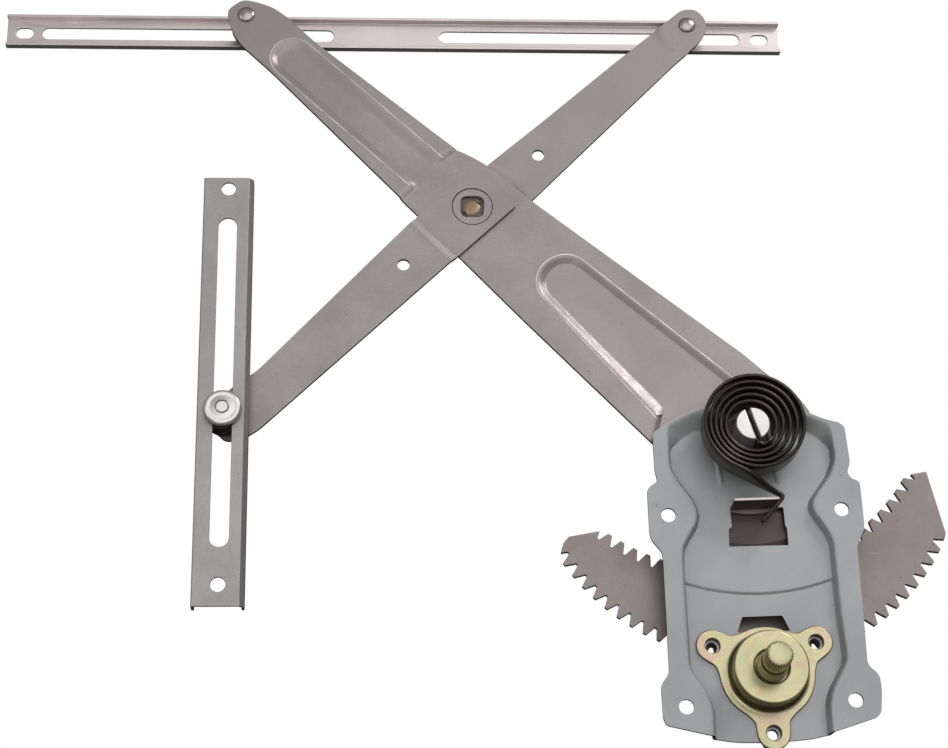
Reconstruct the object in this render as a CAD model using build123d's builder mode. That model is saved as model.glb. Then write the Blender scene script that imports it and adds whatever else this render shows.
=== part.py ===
from build123d import *
from math import atan2, cos, degrees, radians, sin
import os

# Window regulator of a car door: a crank and pinion turn a toothed sector, which swings a lift arm,
# a crossed balance arm keeps the lift rail level, and a clock spring carries the weight of the glass.
# Millimetres. The origin is on the crank's axis at the middle of its serrations, Z points into the car.

os.makedirs("parts", exist_ok=True)

# Gears
module = 2.25
pinion_teeth = 10
sector_circle_teeth = 92
sector_teeth = 31
centre_distance = module * (pinion_teeth + sector_circle_teeth) / 2
sector_pitch_r = module * sector_circle_teeth / 2
sector_addendum = 2.25
sector_dedendum = 2.8
sector_tip_r = sector_pitch_r + sector_addendum
sector_root_r = sector_pitch_r - sector_dedendum
tooth_tip_half = 0.65
tooth_root_half = 2.45
tooth_step = 360 / sector_circle_teeth
sector_land_angle = 2.5

# Linkage
arm_angle = 134.0
balance_angle = 42.0
pivot_to_cross = 180.0
cross_to_lift_roller = 160.0
cross_to_balance_roller = 160.0
cross_to_guide = 167.0
rail_angle = (arm_angle + balance_angle) / 2 - 90
guide_lean = 1.9

# Sheet thicknesses
plate_sheet = 1.6
arm_sheet = 2.0
balance_sheet = 2.0
sector_sheet = 2.6
rail_sheet = 1.4
ear_sheet = 2.0

# Heights, each the underside of its layer, measured from the crank's serrations
gear_plane = -40.0
sector_low = gear_plane - sector_sheet / 2
hub_low = gear_plane + 6.0
arm_low = hub_low + sector_sheet
arm_mid = arm_low + arm_sheet
arm_high = arm_mid + 1.6
layer_gap = 0.2
pivot_dish_low = arm_mid + layer_gap
plate_flange_low = pivot_dish_low + 5.0
crank_dish_drop = 1.5
crank_dish_low = pivot_dish_low - crank_dish_drop
balance_low_centre = arm_mid + arm_sheet + 0.1
balance_low_run = balance_low_centre + 1.7
balance_up_centre = arm_mid - 3.8 - balance_sheet
balance_up_run = balance_up_centre + 0.8
balance_up_tip = balance_up_run + 0.8

# Pivot and its spring
stud_r = 8.0
stud_slot_width = 2.4
stud_top = gear_plane + 36.0
stud_slot_floor = gear_plane + 19.5
stud_head_r = 13.0
hub_r = 32.0
spring_strip = 1.7
spring_low = gear_plane + 22.0
spring_width = 12.5
spring_first_r = 10.8
spring_pitch = 2.9
bush_flange_r = 12.0

# Crank and its housing
crank_r = 6.3
crank_tip = 5.5
crank_spline_length = 11.0
ear_circle_r = 28.0
ear_hole_r = 3.4
ear_r = 7.8
cup_base_r = 22.2
cup_r = 17.4
cup_height = 11.7
cup_mouth_r = 8.6

# Rails, rollers and rivets
lift_rail_width = 18.5
lift_rail_depth = 5.0
lift_rail_low = gear_plane - 7.0
lift_rail_left = 125.5
lift_rail_right = 281.0
lift_slot_width = 7.0
roller_r = 8.15
roller_neck_r = 3.15
roller_rivet_r = 2.2
rivet_r = 3.0
rivet_head_r = 4.1
rivet_head_height = 1.9
guide_rail_width = 24.3
guide_rail_depth = 7.0
guide_rail_low = gear_plane + 22.4
guide_slot_width = 9.0
guide_rail_up = 123.4
guide_rail_down = 96.0
guide_button_r = 8.9
running_gap = 0.3
fit_gap = 0.05


def polar(radius, angle, centre=(0.0, 0.0)):
    """Point at a radius and an angle in degrees from a centre."""
    return (centre[0] + radius * cos(radians(angle)), centre[1] + radius * sin(radians(angle)))


def along(origin, angle, u, v):
    """Point u forward and v to the left of a line that leaves the origin at an angle."""
    side = angle + 90
    return (
        origin[0] + u * cos(radians(angle)) + v * cos(radians(side)),
        origin[1] + u * sin(radians(angle)) + v * sin(radians(side)),
    )


def outline(origin, angle, points):
    """Closed outline from points that are given along and across a line."""
    return [along(origin, angle, u, v) for u, v in points]


crank = (0.0, 0.0)
pivot_side = 1.3
pivot = (pivot_side, (centre_distance ** 2 - pivot_side ** 2) ** 0.5)
cross = along(pivot, arm_angle, pivot_to_cross, 0)
lift_roller_at = along(cross, arm_angle, cross_to_lift_roller, 0)
balance_roller_at = along(cross, balance_angle, cross_to_balance_roller, 0)
guide_at = along(cross, balance_angle + 180, cross_to_guide, 0)


# Sector gear: the toothed band, the neck that steps up and the hub, cut from one thick sheet
first_tooth = -90 - tooth_step * ((sector_teeth - 1) // 2)
last_tooth = first_tooth + tooth_step * (sector_teeth - 1)
gap_root_half = radians(tooth_step) / 2 * sector_root_r - tooth_root_half
gap_tip_half = radians(tooth_step) / 2 * sector_tip_r - tooth_tip_half
inner_centre = (pivot[0] - 6.3, pivot[1] + 39.4)
inner_tip_r = 101.15
inner_step = 3.85
inner_teeth = 27
inner_first_gap = -129.07
inner_arc = (-33.2, -90.0, -129.3)
tooth_depth = sector_tip_r - sector_root_r
hub_reach = 50.0
band_reach = 70.0
neck_half_angle = 34.0
with BuildSketch(mode=Mode.PRIVATE) as outer_gap:
    with BuildLine():
        gap_shoulder = sector_root_r + gap_root_half
        Line((sector_tip_r + 1, -gap_tip_half - 0.3), (gap_shoulder, -gap_root_half))
        ThreePointArc((gap_shoulder, -gap_root_half), (sector_root_r, 0), (gap_shoulder, gap_root_half))
        Line((gap_shoulder, gap_root_half), (sector_tip_r + 1, gap_tip_half + 0.3))
        Line((sector_tip_r + 1, gap_tip_half + 0.3), (sector_tip_r + 1, -gap_tip_half - 0.3))
    make_face()
with BuildSketch(mode=Mode.PRIVATE) as inner_gap:
    with BuildLine():
        gap_end = inner_tip_r + tooth_depth
        Line((inner_tip_r - 1, -tooth_root_half - 0.3), (gap_end - tooth_tip_half, -tooth_tip_half))
        ThreePointArc((gap_end - tooth_tip_half, -tooth_tip_half), (gap_end, 0),
                      (gap_end - tooth_tip_half, tooth_tip_half))
        Line((gap_end - tooth_tip_half, tooth_tip_half), (inner_tip_r - 1, tooth_root_half + 0.3))
        Line((inner_tip_r - 1, tooth_root_half + 0.3), (inner_tip_r - 1, -tooth_root_half - 0.3))
    make_face()
with BuildSketch(Plane.XY) as sector_plan:
    with BuildLine():
        start = polar(sector_tip_r, first_tooth - tooth_step / 2, pivot)
        end = polar(sector_tip_r, last_tooth + sector_land_angle, pivot)
        ThreePointArc(start, polar(sector_tip_r, -90, pivot), end)
        inner_start, inner_middle, inner_end = [polar(inner_tip_r, angle, inner_centre) for angle in inner_arc]
        Polyline(end, polar(105.2, -26.2, pivot), polar(90.3, -9.3, pivot), inner_start)
        ThreePointArc(inner_start, inner_middle, inner_end)
        Polyline(inner_end, polar(96.6, -154.6, pivot), polar(100.1, -153.8, pivot),
                 polar(102.5, -152.6, pivot), start)
    make_face()
    with Locations(pivot):
        with PolarLocations(0, sector_teeth + 1, first_tooth - tooth_step / 2,
                            tooth_step * (sector_teeth + 1)):
            add(outer_gap.sketch, mode=Mode.SUBTRACT)
    with Locations(inner_centre):
        with PolarLocations(0, inner_teeth, inner_first_gap, inner_step * inner_teeth):
            add(inner_gap.sketch, mode=Mode.SUBTRACT)
neck_angles = (-90 - neck_half_angle, -90 + neck_half_angle)
with BuildSketch(Plane.XY) as neck_plan:
    with Locations(pivot):
        Circle(hub_r)
    with BuildLine():
        Polyline(
            polar(hub_r, neck_angles[0] - 20, pivot),
            polar(sector_root_r - 10, neck_angles[0] + 4, pivot),
            polar(sector_root_r - 10, neck_angles[1] - 4, pivot),
            polar(hub_r, neck_angles[1] + 20, pivot),
            polar(hub_r, neck_angles[0] - 20, pivot),
        )
    make_face()
with BuildPart() as sector_gear:
    profile = Plane(origin=(pivot[0], pivot[1], 0), x_dir=(1, 0, 0), z_dir=(0, -1, 0))
    with BuildSketch(profile):
        with BuildLine():
            Polyline(
                (0, hub_low),
                (hub_reach, hub_low),
                (band_reach, sector_low),
                (sector_tip_r + 2, sector_low),
                (sector_tip_r + 2, sector_low + sector_sheet),
                (band_reach + 0.9, sector_low + sector_sheet),
                (hub_reach + 0.9, hub_low + sector_sheet),
                (0, hub_low + sector_sheet),
                (0, hub_low),
            )
        make_face()
    revolve(axis=Axis((pivot[0], pivot[1], 0), (0, 0, 1)))
    with BuildSketch(Plane.XY.offset(sector_low - 1)) as plan:
        add(sector_plan.sketch)
        add(neck_plan.sketch)
    extrude(amount=hub_low - sector_low + sector_sheet + 2, mode=Mode.INTERSECT)
    with Locations((pivot[0], pivot[1], hub_low)):
        Cylinder(stud_r + fit_gap, 3 * sector_sheet, mode=Mode.SUBTRACT)
    with Locations((pivot[0], pivot[1], hub_low)):
        with PolarLocations(22.0, 3, 30):
            Cylinder(rivet_r, 3 * sector_sheet, mode=Mode.SUBTRACT)
sector_gear.part.label = "sector_gear"
export_step(sector_gear.part, "parts/sector_gear.step")


# Pinion: ten stubby teeth cut with the clearance that a pressed sector needs
pinion_root_r = 8.1
pinion_tooth = [(1.0, 1.55), (8.6, 1.55), (10.0, 1.68), (11.25, 1.34), (12.2, 0.82), (12.95, 0.38)]
pinion_width = 7.1
pinion_low = gear_plane - 4.5
shaft_low = lift_rail_low
shaft_seat_r = 4.5
mesh_line = degrees(atan2(pivot[1], pivot[0]))
mesh_phase = mesh_line - (90 - mesh_line) * sector_circle_teeth / pinion_teeth
with BuildSketch(mode=Mode.PRIVATE) as tooth:
    with BuildLine():
        Polyline(*pinion_tooth, *[(forward, -half) for forward, half in reversed(pinion_tooth)], close=True)
    make_face()
with BuildPart() as pinion_gear:
    with BuildSketch(Plane.XY.offset(pinion_low)):
        Circle(pinion_root_r)
        with PolarLocations(0, pinion_teeth, mesh_phase + 180 / pinion_teeth):
            add(tooth.sketch)
        Circle(shaft_seat_r, mode=Mode.SUBTRACT)
    extrude(amount=pinion_width)
pinion_gear.part.label = "pinion_gear"
export_step(pinion_gear.part, "parts/pinion_gear.step")

# Crank shaft: riveted tail, body in the housing, collar, groove and serrated end
plate_crank_top = crank_dish_low + plate_sheet
cup_top = plate_crank_top + ear_sheet + cup_height
drum_r = 11.0
drum_low = plate_crank_top + ear_sheet + 2.5
drum_high = cup_top - 3.5
with BuildPart() as crank_shaft:
    with BuildSketch(Plane.XZ) as half:
        with BuildLine():
            Polyline(
                (0, shaft_low), (5.4, shaft_low), (5.4, pinion_low), (shaft_seat_r - fit_gap, pinion_low),
                (shaft_seat_r - fit_gap, pinion_low + pinion_width), (crank_r, pinion_low + pinion_width),
                (crank_r, -crank_spline_length / 2 - 1.5), (crank_r - 0.9, -crank_spline_length / 2 - 1.0),
                (crank_r - 0.9, -crank_spline_length / 2 - 0.2), (crank_r, -crank_spline_length / 2),
                (crank_r, crank_tip - 1.0), (crank_r - 1.0, crank_tip), (0, crank_tip), (0, shaft_low),
            )
        make_face()
    revolve(axis=Axis.Z)
crank_shaft.part.label = "crank_shaft"
export_step(crank_shaft.part, "parts/crank_shaft.step")

# Drive drum on the shaft inside the housing, and the brake spring that grips the housing's wall
with BuildPart() as drive_drum:
    with BuildSketch(Plane.XY.offset(drum_low)):
        Circle(drum_r)
        Circle(crank_r + fit_gap, mode=Mode.SUBTRACT)
    extrude(amount=drum_high - drum_low)
    with Locations((drum_r, 0, (drum_low + drum_high) / 2)):
        Box(3.0, 5.0, drum_high - drum_low, mode=Mode.SUBTRACT)
drive_drum.part.label = "drive_drum"
export_step(drive_drum.part, "parts/drive_drum.step")

brake_wire = 1.4
brake_r = cup_r - plate_sheet - 0.1
with BuildPart() as brake_spring:
    for turn in range(3):
        with BuildSketch(Plane.XY.offset(drum_low + 0.4 + turn * (brake_wire + 0.2))):
            Circle(brake_r)
            Circle(brake_r - brake_wire, mode=Mode.SUBTRACT)
        extrude(amount=brake_wire)
    with Locations((brake_r - brake_wire / 2, 0, drum_low + 0.4)):
        Box(brake_wire, 2.0, 3 * brake_wire + 0.4, align=(Align.CENTER, Align.CENTER, Align.MIN))
brake_spring.part.label = "brake_spring"
export_step(brake_spring.part, "parts/brake_spring.step")

# Crank housing: a drawn cup with a flared foot and three ears
ear_places = [polar(ear_circle_r, angle) for angle in (30, 150, 270)]
foot_r = cup_base_r - cup_r
with BuildPart() as crank_housing:
    with BuildSketch(Plane.XY.offset(plate_crank_top)):
        Circle(cup_base_r)
        for place in ear_places:
            with Locations(place):
                Circle(ear_r)
            ear_angle = degrees(atan2(place[1], place[0]))
            web = [(17.0, 12.5), (25.5, 0.93 * ear_r), (25.5, -0.93 * ear_r), (17.0, -12.5)]
            with BuildLine():
                Polyline(*outline(crank, ear_angle, web), close=True)
            make_face()
    extrude(amount=ear_sheet)
    with BuildSketch(Plane.XZ):
        with BuildLine():
            Line((0, plate_crank_top), (cup_base_r, plate_crank_top))
            Line((cup_base_r, plate_crank_top), (cup_base_r, plate_crank_top + ear_sheet))
            RadiusArc((cup_base_r, plate_crank_top + ear_sheet), (cup_r, plate_crank_top + ear_sheet + foot_r),
                      -foot_r)
            Line((cup_r, plate_crank_top + ear_sheet + foot_r), (cup_r, cup_top - 2.5))
            RadiusArc((cup_r, cup_top - 2.5), (cup_r - 2.5, cup_top), -2.5)
            Line((cup_r - 2.5, cup_top), (0, cup_top))
            Line((0, cup_top), (0, plate_crank_top))
        make_face()
    revolve(axis=Axis.Z)
    with Locations((0, 0, plate_crank_top - 1)):
        Cylinder(cup_r - plate_sheet, cup_top - plate_sheet - plate_crank_top + 1,
                 align=(Align.CENTER, Align.CENTER, Align.MIN), mode=Mode.SUBTRACT)
    with Locations((0, 0, cup_top)):
        Cylinder(cup_mouth_r, 3 * plate_sheet, mode=Mode.SUBTRACT)
    for place in ear_places:
        with Locations((place[0], place[1], plate_crank_top)):
            Cylinder(ear_hole_r, 4 * ear_sheet, mode=Mode.SUBTRACT)
crank_housing.part.label = "crank_housing"
export_step(crank_housing.part, "parts/crank_housing.step")

# Weld nuts pressed up through the crank dish under the three ears
nut_flats = 12.0
nut_height = 4.0
with BuildPart() as housing_nuts:
    with BuildSketch(Plane.XY.offset(crank_dish_low - nut_height)):
        with Locations(*ear_places):
            RegularPolygon(nut_flats / 2, 6, major_radius=False)
            Circle(ear_hole_r - 0.8, mode=Mode.SUBTRACT)
    extrude(amount=nut_height)
housing_nuts.part.label = "housing_nuts"
export_step(housing_nuts.part, "parts/housing_nuts.step")


# Base plate: a flange with a pressed recess that is shallow round the pivot and deep under the crank
step_r = 76.0
step_run = 0.8
plate_edge = [
    (-45.3, 3.6), (-38.2, 9.0), (-26.0, 15.0), (-15.0, 18.5), (0.0, 20.5), (15.0, 18.5), (30.4, 12.1),
    (39.7, 7.8), (45.1, 6.4), (47.8, 4.0), (48.3, -14.7), (46.3, -19.2), (47.7, -22.5), (51.8, -24.2),
    (51.3, -47.5), (46.6, -56.1), (45.8, -80.0), (44.5, -113.8), (49.4, -118.8), (49.6, -126.0),
    (48.0, -136.5), (46.0, -138.4), (27.0, -143.9), (16.0, -145.9), (-1.5, -146.9), (-19.0, -146.0),
    (-29.9, -144.0),
    (-50.8, -138.4), (-52.1, -135.2), (-51.8, -119.5), (-47.5, -114.1), (-45.7, -61.3), (-45.6, -56.3),
    (-50.3, -49.9), (-50.9, -46.1), (-50.2, -24.1), (-44.8, -20.9), (-45.8, -15.4),
]
recess_edge = [
    (-38.2, 3.0), (-30.0, 8.5), (-15.0, 16.0), (15.0, 16.0), (30.0, 7.8), (40.0, 3.5), (39.4, -13.0),
    (33.3, -26.0), (27.6, -34.5), (27.6, -39.0), (34.6, -52.6), (36.8, -61.0), (35.9, -110.8),
    (27.7, -123.2), (25.2, -130.2), (24.0, -150.0), (-29.3, -150.0), (-28.6, -131.2), (-34.1, -119.2),
    (-37.3, -111.9), (-36.0, -58.0), (-34.6, -52.0), (-27.0, -38.5), (-27.0, -34.6), (-37.2, -14.5),
]
recess_floor = [
    (-36.9, -6.4), (-29.0, -1.4), (-13.0, 12.6), (13.0, 12.6), (30.0, -0.5), (38.6, -6.0), (38.0, -13.5),
    (32.2, -26.8), (26.4, -34.8), (26.4, -39.2), (33.4, -53.0), (35.6, -61.2), (34.7, -110.4),
    (26.5, -122.8), (24.0, -130.0), (22.8, -150.0), (-28.1, -150.0), (-27.4, -131.4), (-32.9, -119.0),
    (-36.1, -111.5), (-34.8, -58.2), (-33.4, -52.4), (-25.8, -38.7), (-25.8, -34.4), (-35.9, -14.9),
]
dish_sides = [(34.9, -110.4), (26.5, -122.8), (24.0, -130.0), (22.8, -150.0), (-28.1, -150.0),
              (-27.4, -131.4), (-32.9, -119.0), (-36.1, -111.5)]
window_edge = [(-10.8, -34.0), (14.7, -34.2), (14.7, -43.4), (15.4, -44.4), (15.2, -53.2), (-13.0, -52.9),
               (-12.4, -44.2), (-10.8, -43.2)]
dish_window = [(-10.2, -87.2), (8.7, -87.2), (11.6, -94.6), (-13.3, -94.6)]
tab_left = -9.9
tab_right = 9.7
tab_top = gear_plane + 24.6
upper_bolts = [(-41.2, -37.9), (41.5, -37.9)]
lower_bolts = [(-41.0, -130.2), (37.0, -130.2)]
plate_hole_r = 3.5
plate_pivot_hole_r = 10.0
plate_crank_hole_r = 11.6
pivot_dish_top = pivot_dish_low + plate_sheet
flange_top = plate_flange_low + plate_sheet


def dish_outline(inset, grow):
    """Closed line of the deep dish, an arc about the pivot and straight sides, set in or grown outwards."""
    reach = step_r + inset - grow
    spread = [(x + (grow - inset) * (1 if x > 0 else -1), y) for x, y in dish_sides]
    right = (spread[0][0] + 0.6, -((reach ** 2 - (spread[0][0] + 0.6) ** 2) ** 0.5))
    left = (spread[-1][0], -((reach ** 2 - spread[-1][0] ** 2) ** 0.5))
    ThreePointArc(left, (0, -reach), right)
    Polyline(right, *spread, left)


with BuildPart() as base_plate:
    with BuildSketch(Plane((pivot[0], pivot[1], plate_flange_low))):
        with BuildLine():
            Polyline(*plate_edge, close=True)
        make_face()
    extrude(amount=plate_sheet)
    with BuildSketch(Plane((pivot[0], pivot[1], flange_top))):
        with BuildLine():
            Polyline(*recess_edge, close=True)
        make_face()
        offset(amount=plate_sheet, kind=Kind.INTERSECTION)
    with BuildSketch(Plane((pivot[0], pivot[1], pivot_dish_low))):
        with BuildLine():
            Polyline(*recess_floor, close=True)
        make_face()
        offset(amount=plate_sheet, kind=Kind.INTERSECTION)
    loft(ruled=True)
    with BuildSketch(Plane((pivot[0], pivot[1], pivot_dish_top))):
        with BuildLine():
            dish_outline(0, plate_sheet)
        make_face()
    with BuildSketch(Plane((pivot[0], pivot[1], crank_dish_low))):
        with BuildLine():
            dish_outline(step_run, plate_sheet)
        make_face()
    loft(ruled=True)
    with BuildSketch(Plane((pivot[0], pivot[1], flange_top))):
        with BuildLine():
            Polyline(*recess_edge, close=True)
        make_face()
    with BuildSketch(Plane((pivot[0], pivot[1], pivot_dish_top))):
        with BuildLine():
            Polyline(*recess_floor, close=True)
        make_face()
    loft(ruled=True, mode=Mode.SUBTRACT)
    with BuildSketch(Plane((pivot[0], pivot[1], pivot_dish_top))):
        with BuildLine():
            dish_outline(0, 0)
        make_face()
    with BuildSketch(Plane((pivot[0], pivot[1], crank_dish_low + plate_sheet))):
        with BuildLine():
            dish_outline(step_run, 0)
        make_face()
    loft(ruled=True, mode=Mode.SUBTRACT)
    with BuildSketch(Plane((pivot[0], pivot[1], crank_dish_low))):
        with BuildLine():
            Polyline(*window_edge, close=True)
        make_face()
        with BuildLine():
            Polyline(*dish_window, close=True)
        make_face()
        with Locations(*upper_bolts, *lower_bolts):
            Circle(plate_hole_r)
        Circle(plate_pivot_hole_r)
    extrude(amount=flange_top - crank_dish_low, mode=Mode.SUBTRACT)
    with BuildSketch(Plane.XY.offset(crank_dish_low)):
        Circle(plate_crank_hole_r)
        with Locations(*ear_places):
            Circle(ear_hole_r)
    extrude(amount=plate_sheet, mode=Mode.SUBTRACT)
    with BuildSketch(Plane((pivot[0], pivot[1], crank_dish_low))):
        with BuildLine():
            Polyline(*plate_edge, close=True)
        make_face()
    extrude(amount=flange_top - crank_dish_low, mode=Mode.INTERSECT)
    with Locations((pivot[0] + tab_left, pivot[1] + window_edge[0][1] + 0.4, pivot_dish_low)):
        Box(tab_right - tab_left, plate_sheet, tab_top - pivot_dish_low,
            align=(Align.MIN, Align.MAX, Align.MIN))
base_plate.part.label = "base_plate"
export_step(base_plate.part, "parts/base_plate.step")

# Pivot: a flanged bush in the plate, a stud riveted behind the hub, a washer and three rivets
bush_low = arm_mid + running_gap / 2
bush_top = pivot_dish_top + 2.0
pivot_plane = Plane(origin=(pivot[0], pivot[1], 0), x_dir=(1, 0, 0), z_dir=(0, -1, 0))
pivot_axis = Axis((pivot[0], pivot[1], 0), (0, 0, 1))
with BuildPart() as pivot_bush:
    with BuildSketch(pivot_plane):
        with BuildLine():
            Polyline((stud_r + fit_gap, bush_low), (plate_pivot_hole_r, bush_low),
                     (plate_pivot_hole_r, pivot_dish_top), (bush_flange_r, pivot_dish_top),
                     (bush_flange_r, bush_top - 0.6), (bush_flange_r - 0.6, bush_top),
                     (stud_r + fit_gap, bush_top), (stud_r + fit_gap, bush_low))
        make_face()
    revolve(axis=pivot_axis)
pivot_bush.part.label = "pivot_bush"
export_step(pivot_bush.part, "parts/pivot_bush.step")

slot_angle = 105.0
with BuildPart() as pivot_stud:
    with BuildSketch(pivot_plane):
        with BuildLine():
            Polyline((0, hub_low - 2.0), (stud_head_r - 1.0, hub_low - 2.0), (stud_head_r, hub_low - 1.0),
                     (stud_head_r, hub_low), (stud_r, hub_low), (stud_r, stud_top - 0.5),
                     (stud_r - 0.5, stud_top), (0, stud_top), (0, hub_low - 2.0))
        make_face()
    revolve(axis=pivot_axis)
    with BuildSketch(Plane((pivot[0], pivot[1], stud_slot_floor))):
        Rectangle(3 * stud_r, stud_slot_width, rotation=slot_angle)
    extrude(amount=stud_top - stud_slot_floor + 1, mode=Mode.SUBTRACT)
pivot_stud.part.label = "pivot_stud"
export_step(pivot_stud.part, "parts/pivot_stud.step")

washer_sheet = 1.2
with BuildPart() as stud_washer:
    with BuildSketch(Plane((pivot[0], pivot[1], bush_top + running_gap / 2))):
        Circle(bush_flange_r - 1.0)
        Circle(stud_r, mode=Mode.SUBTRACT)
    extrude(amount=washer_sheet)
stud_washer.part.label = "stud_washer"
export_step(stud_washer.part, "parts/stud_washer.step")

rivet_circle_r = 22.0
rivet_places = [polar(rivet_circle_r, 30 + 120 * index, pivot) for index in range(3)]
with BuildPart() as sector_rivets:
    with BuildSketch(Plane.XY.offset(hub_low)):
        with Locations(*rivet_places):
            Circle(rivet_r)
    extrude(amount=sector_sheet + arm_sheet)
    with BuildSketch(Plane.XY.offset(hub_low)):
        with Locations(*rivet_places):
            Circle(rivet_r + 1.8)
    extrude(amount=-1.8, taper=20)
sector_rivets.part.label = "sector_rivets"
export_step(sector_rivets.part, "parts/sector_rivets.step")

# Clock spring: a flat strip, held in the slot of the stud and hooked round the plate's tab
spring_shift = (2.4, 1.8)
spring_start = slot_angle - 180
spring_sweep = 4.858 * 360
spring_points = 64
hook_corner = (13.2, -33.2)
hook_end = (1.6, -45.0)
hook_width = 4.8
hook_neck_x = 6.0


def spring_point(share, side):
    """Point on the strip's inner or outer face at a share of its length."""
    radius = spring_first_r + spring_pitch * spring_sweep / 360 * share + side
    angle = spring_start + spring_sweep * share
    return (spring_shift[0] * share + radius * cos(radians(angle)),
            spring_shift[1] * share + radius * sin(radians(angle)))


with BuildPart() as counterbalance_spring:
    with BuildSketch(Plane((pivot[0], pivot[1], spring_low))):
        inner_face = [spring_point(index / spring_points, -spring_strip / 2) for index in range(spring_points + 1)]
        outer_face = [spring_point(index / spring_points, spring_strip / 2) for index in range(spring_points + 1)]
        with BuildLine():
            Spline(*inner_face)
            Line(inner_face[-1], outer_face[-1])
            Spline(*reversed(outer_face))
            Line(outer_face[0], inner_face[0])
        make_face()
        with BuildLine(mode=Mode.PRIVATE) as hook:
            Polyline(spring_point(1.0, 0), hook_corner, hook_end)
        trace(hook.line, line_width=spring_strip)
        with BuildLine(mode=Mode.PRIVATE) as inner_end:
            Line(polar(5.5, slot_angle), polar(spring_first_r, spring_start))
        trace(inner_end.line, line_width=spring_strip)
    extrude(amount=spring_width)
    with BuildSketch(Plane((pivot[0], pivot[1], spring_low + hook_width))):
        with BuildLine():
            Polyline((hook_neck_x, hook_corner[1] + 10), (hook_neck_x + 12, hook_corner[1] + 10),
                     (hook_neck_x + 12, hook_end[1] - 5), (hook_end[0] - 5, hook_end[1] - 5),
                     (hook_end[0] - 5, hook_corner[1] - 2), close=True)
        make_face()
    extrude(amount=spring_width, mode=Mode.SUBTRACT)
counterbalance_spring.part.label = "counterbalance_spring"
export_step(counterbalance_spring.part, "parts/counterbalance_spring.step")

# Lift arm: one pressing on three levels, with a long bead towards each end
arm_root_r = 36.5
root_dish_r = 41.5
rim_dish_r = 26.0
rim_wedge = (-78.0, -20.0)
arm_edge = [
    (10.0, -34.4), (30.0, -34.2), (161.0, -24.0), (191.0, -23.2), (203.0, -20.6), (210.0, -18.1), (303.0, -13.1),
    (323.0, -13.8), (333.0, -12.9), (341.0, -9.5), (348.0, -5.2), (349.0, 5.5), (342.0, 9.8),
    (336.0, 12.9), (329.0, 14.6), (307.7, 14.9), (197.0, 21.8), (166.6, 24.1),
    (122.0, 27.1), (30.0, 32.0), (15.0, 32.3),
]
low_bead_end = 129.0
low_bead_half = 15.5
low_bead_root_half = 21.0
bead_wall = 2.4
high_bead_start = 205.0
high_bead_end = 316.0
high_bead_half = 11.0
ridge_start = 211.5
cross_hole_r = 10.2
arm_frame = Plane(origin=(pivot[0], pivot[1], 0), x_dir=(cos(radians(arm_angle)), sin(radians(arm_angle)), 0),
                  z_dir=(0, 0, 1))


def low_bead(grow):
    """Outline of the bead towards the pivot, with the dish round the root, grown by an amount."""
    half = low_bead_half + grow
    root_half = low_bead_root_half + grow
    tip = low_bead_end + grow
    root = 20 - 2 * grow
    Polyline((root, root_half), (tip - half, half))
    ThreePointArc((tip - half, half), (tip, 0), (tip - half, -half))
    Polyline((tip - half, -half), (root, -root_half), (root, root_half))


def rim_sector(inset):
    """Part of the root where the arm's right rim keeps its height, narrowed by an angle."""
    Polyline((0, 0), polar(2 * root_dish_r, rim_wedge[0] + inset), polar(2 * root_dish_r, rim_wedge[1] - inset),
             close=True)


def high_bead(grow):
    """Outline of the bead towards the lift roller, grown by an amount."""
    half = high_bead_half + grow
    tip = high_bead_end + grow
    Polyline((high_bead_start - 20, half + 4.0), (tip - half, half))
    ThreePointArc((tip - half, half), (tip, 0), (tip - half, -half))
    Polyline((tip - half, -half), (high_bead_start - 20, -half - 4.0), (high_bead_start - 20, half + 4.0))


with BuildPart() as root_cut:
    with BuildSketch(arm_frame.offset(arm_mid)):
        Circle(root_dish_r)
    extrude(amount=arm_sheet, taper=-45)
    with BuildSketch(arm_frame.offset(arm_mid)):
        with BuildLine():
            rim_sector(0)
        make_face()
    extrude(amount=arm_sheet, mode=Mode.SUBTRACT)
    with BuildSketch(arm_frame.offset(arm_mid)):
        Circle(rim_dish_r)
    extrude(amount=arm_sheet, taper=-45)
    with BuildSketch(arm_frame.offset(arm_mid)):
        with BuildLine():
            low_bead(0)
        make_face()
    extrude(amount=arm_sheet, taper=-45)

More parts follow.
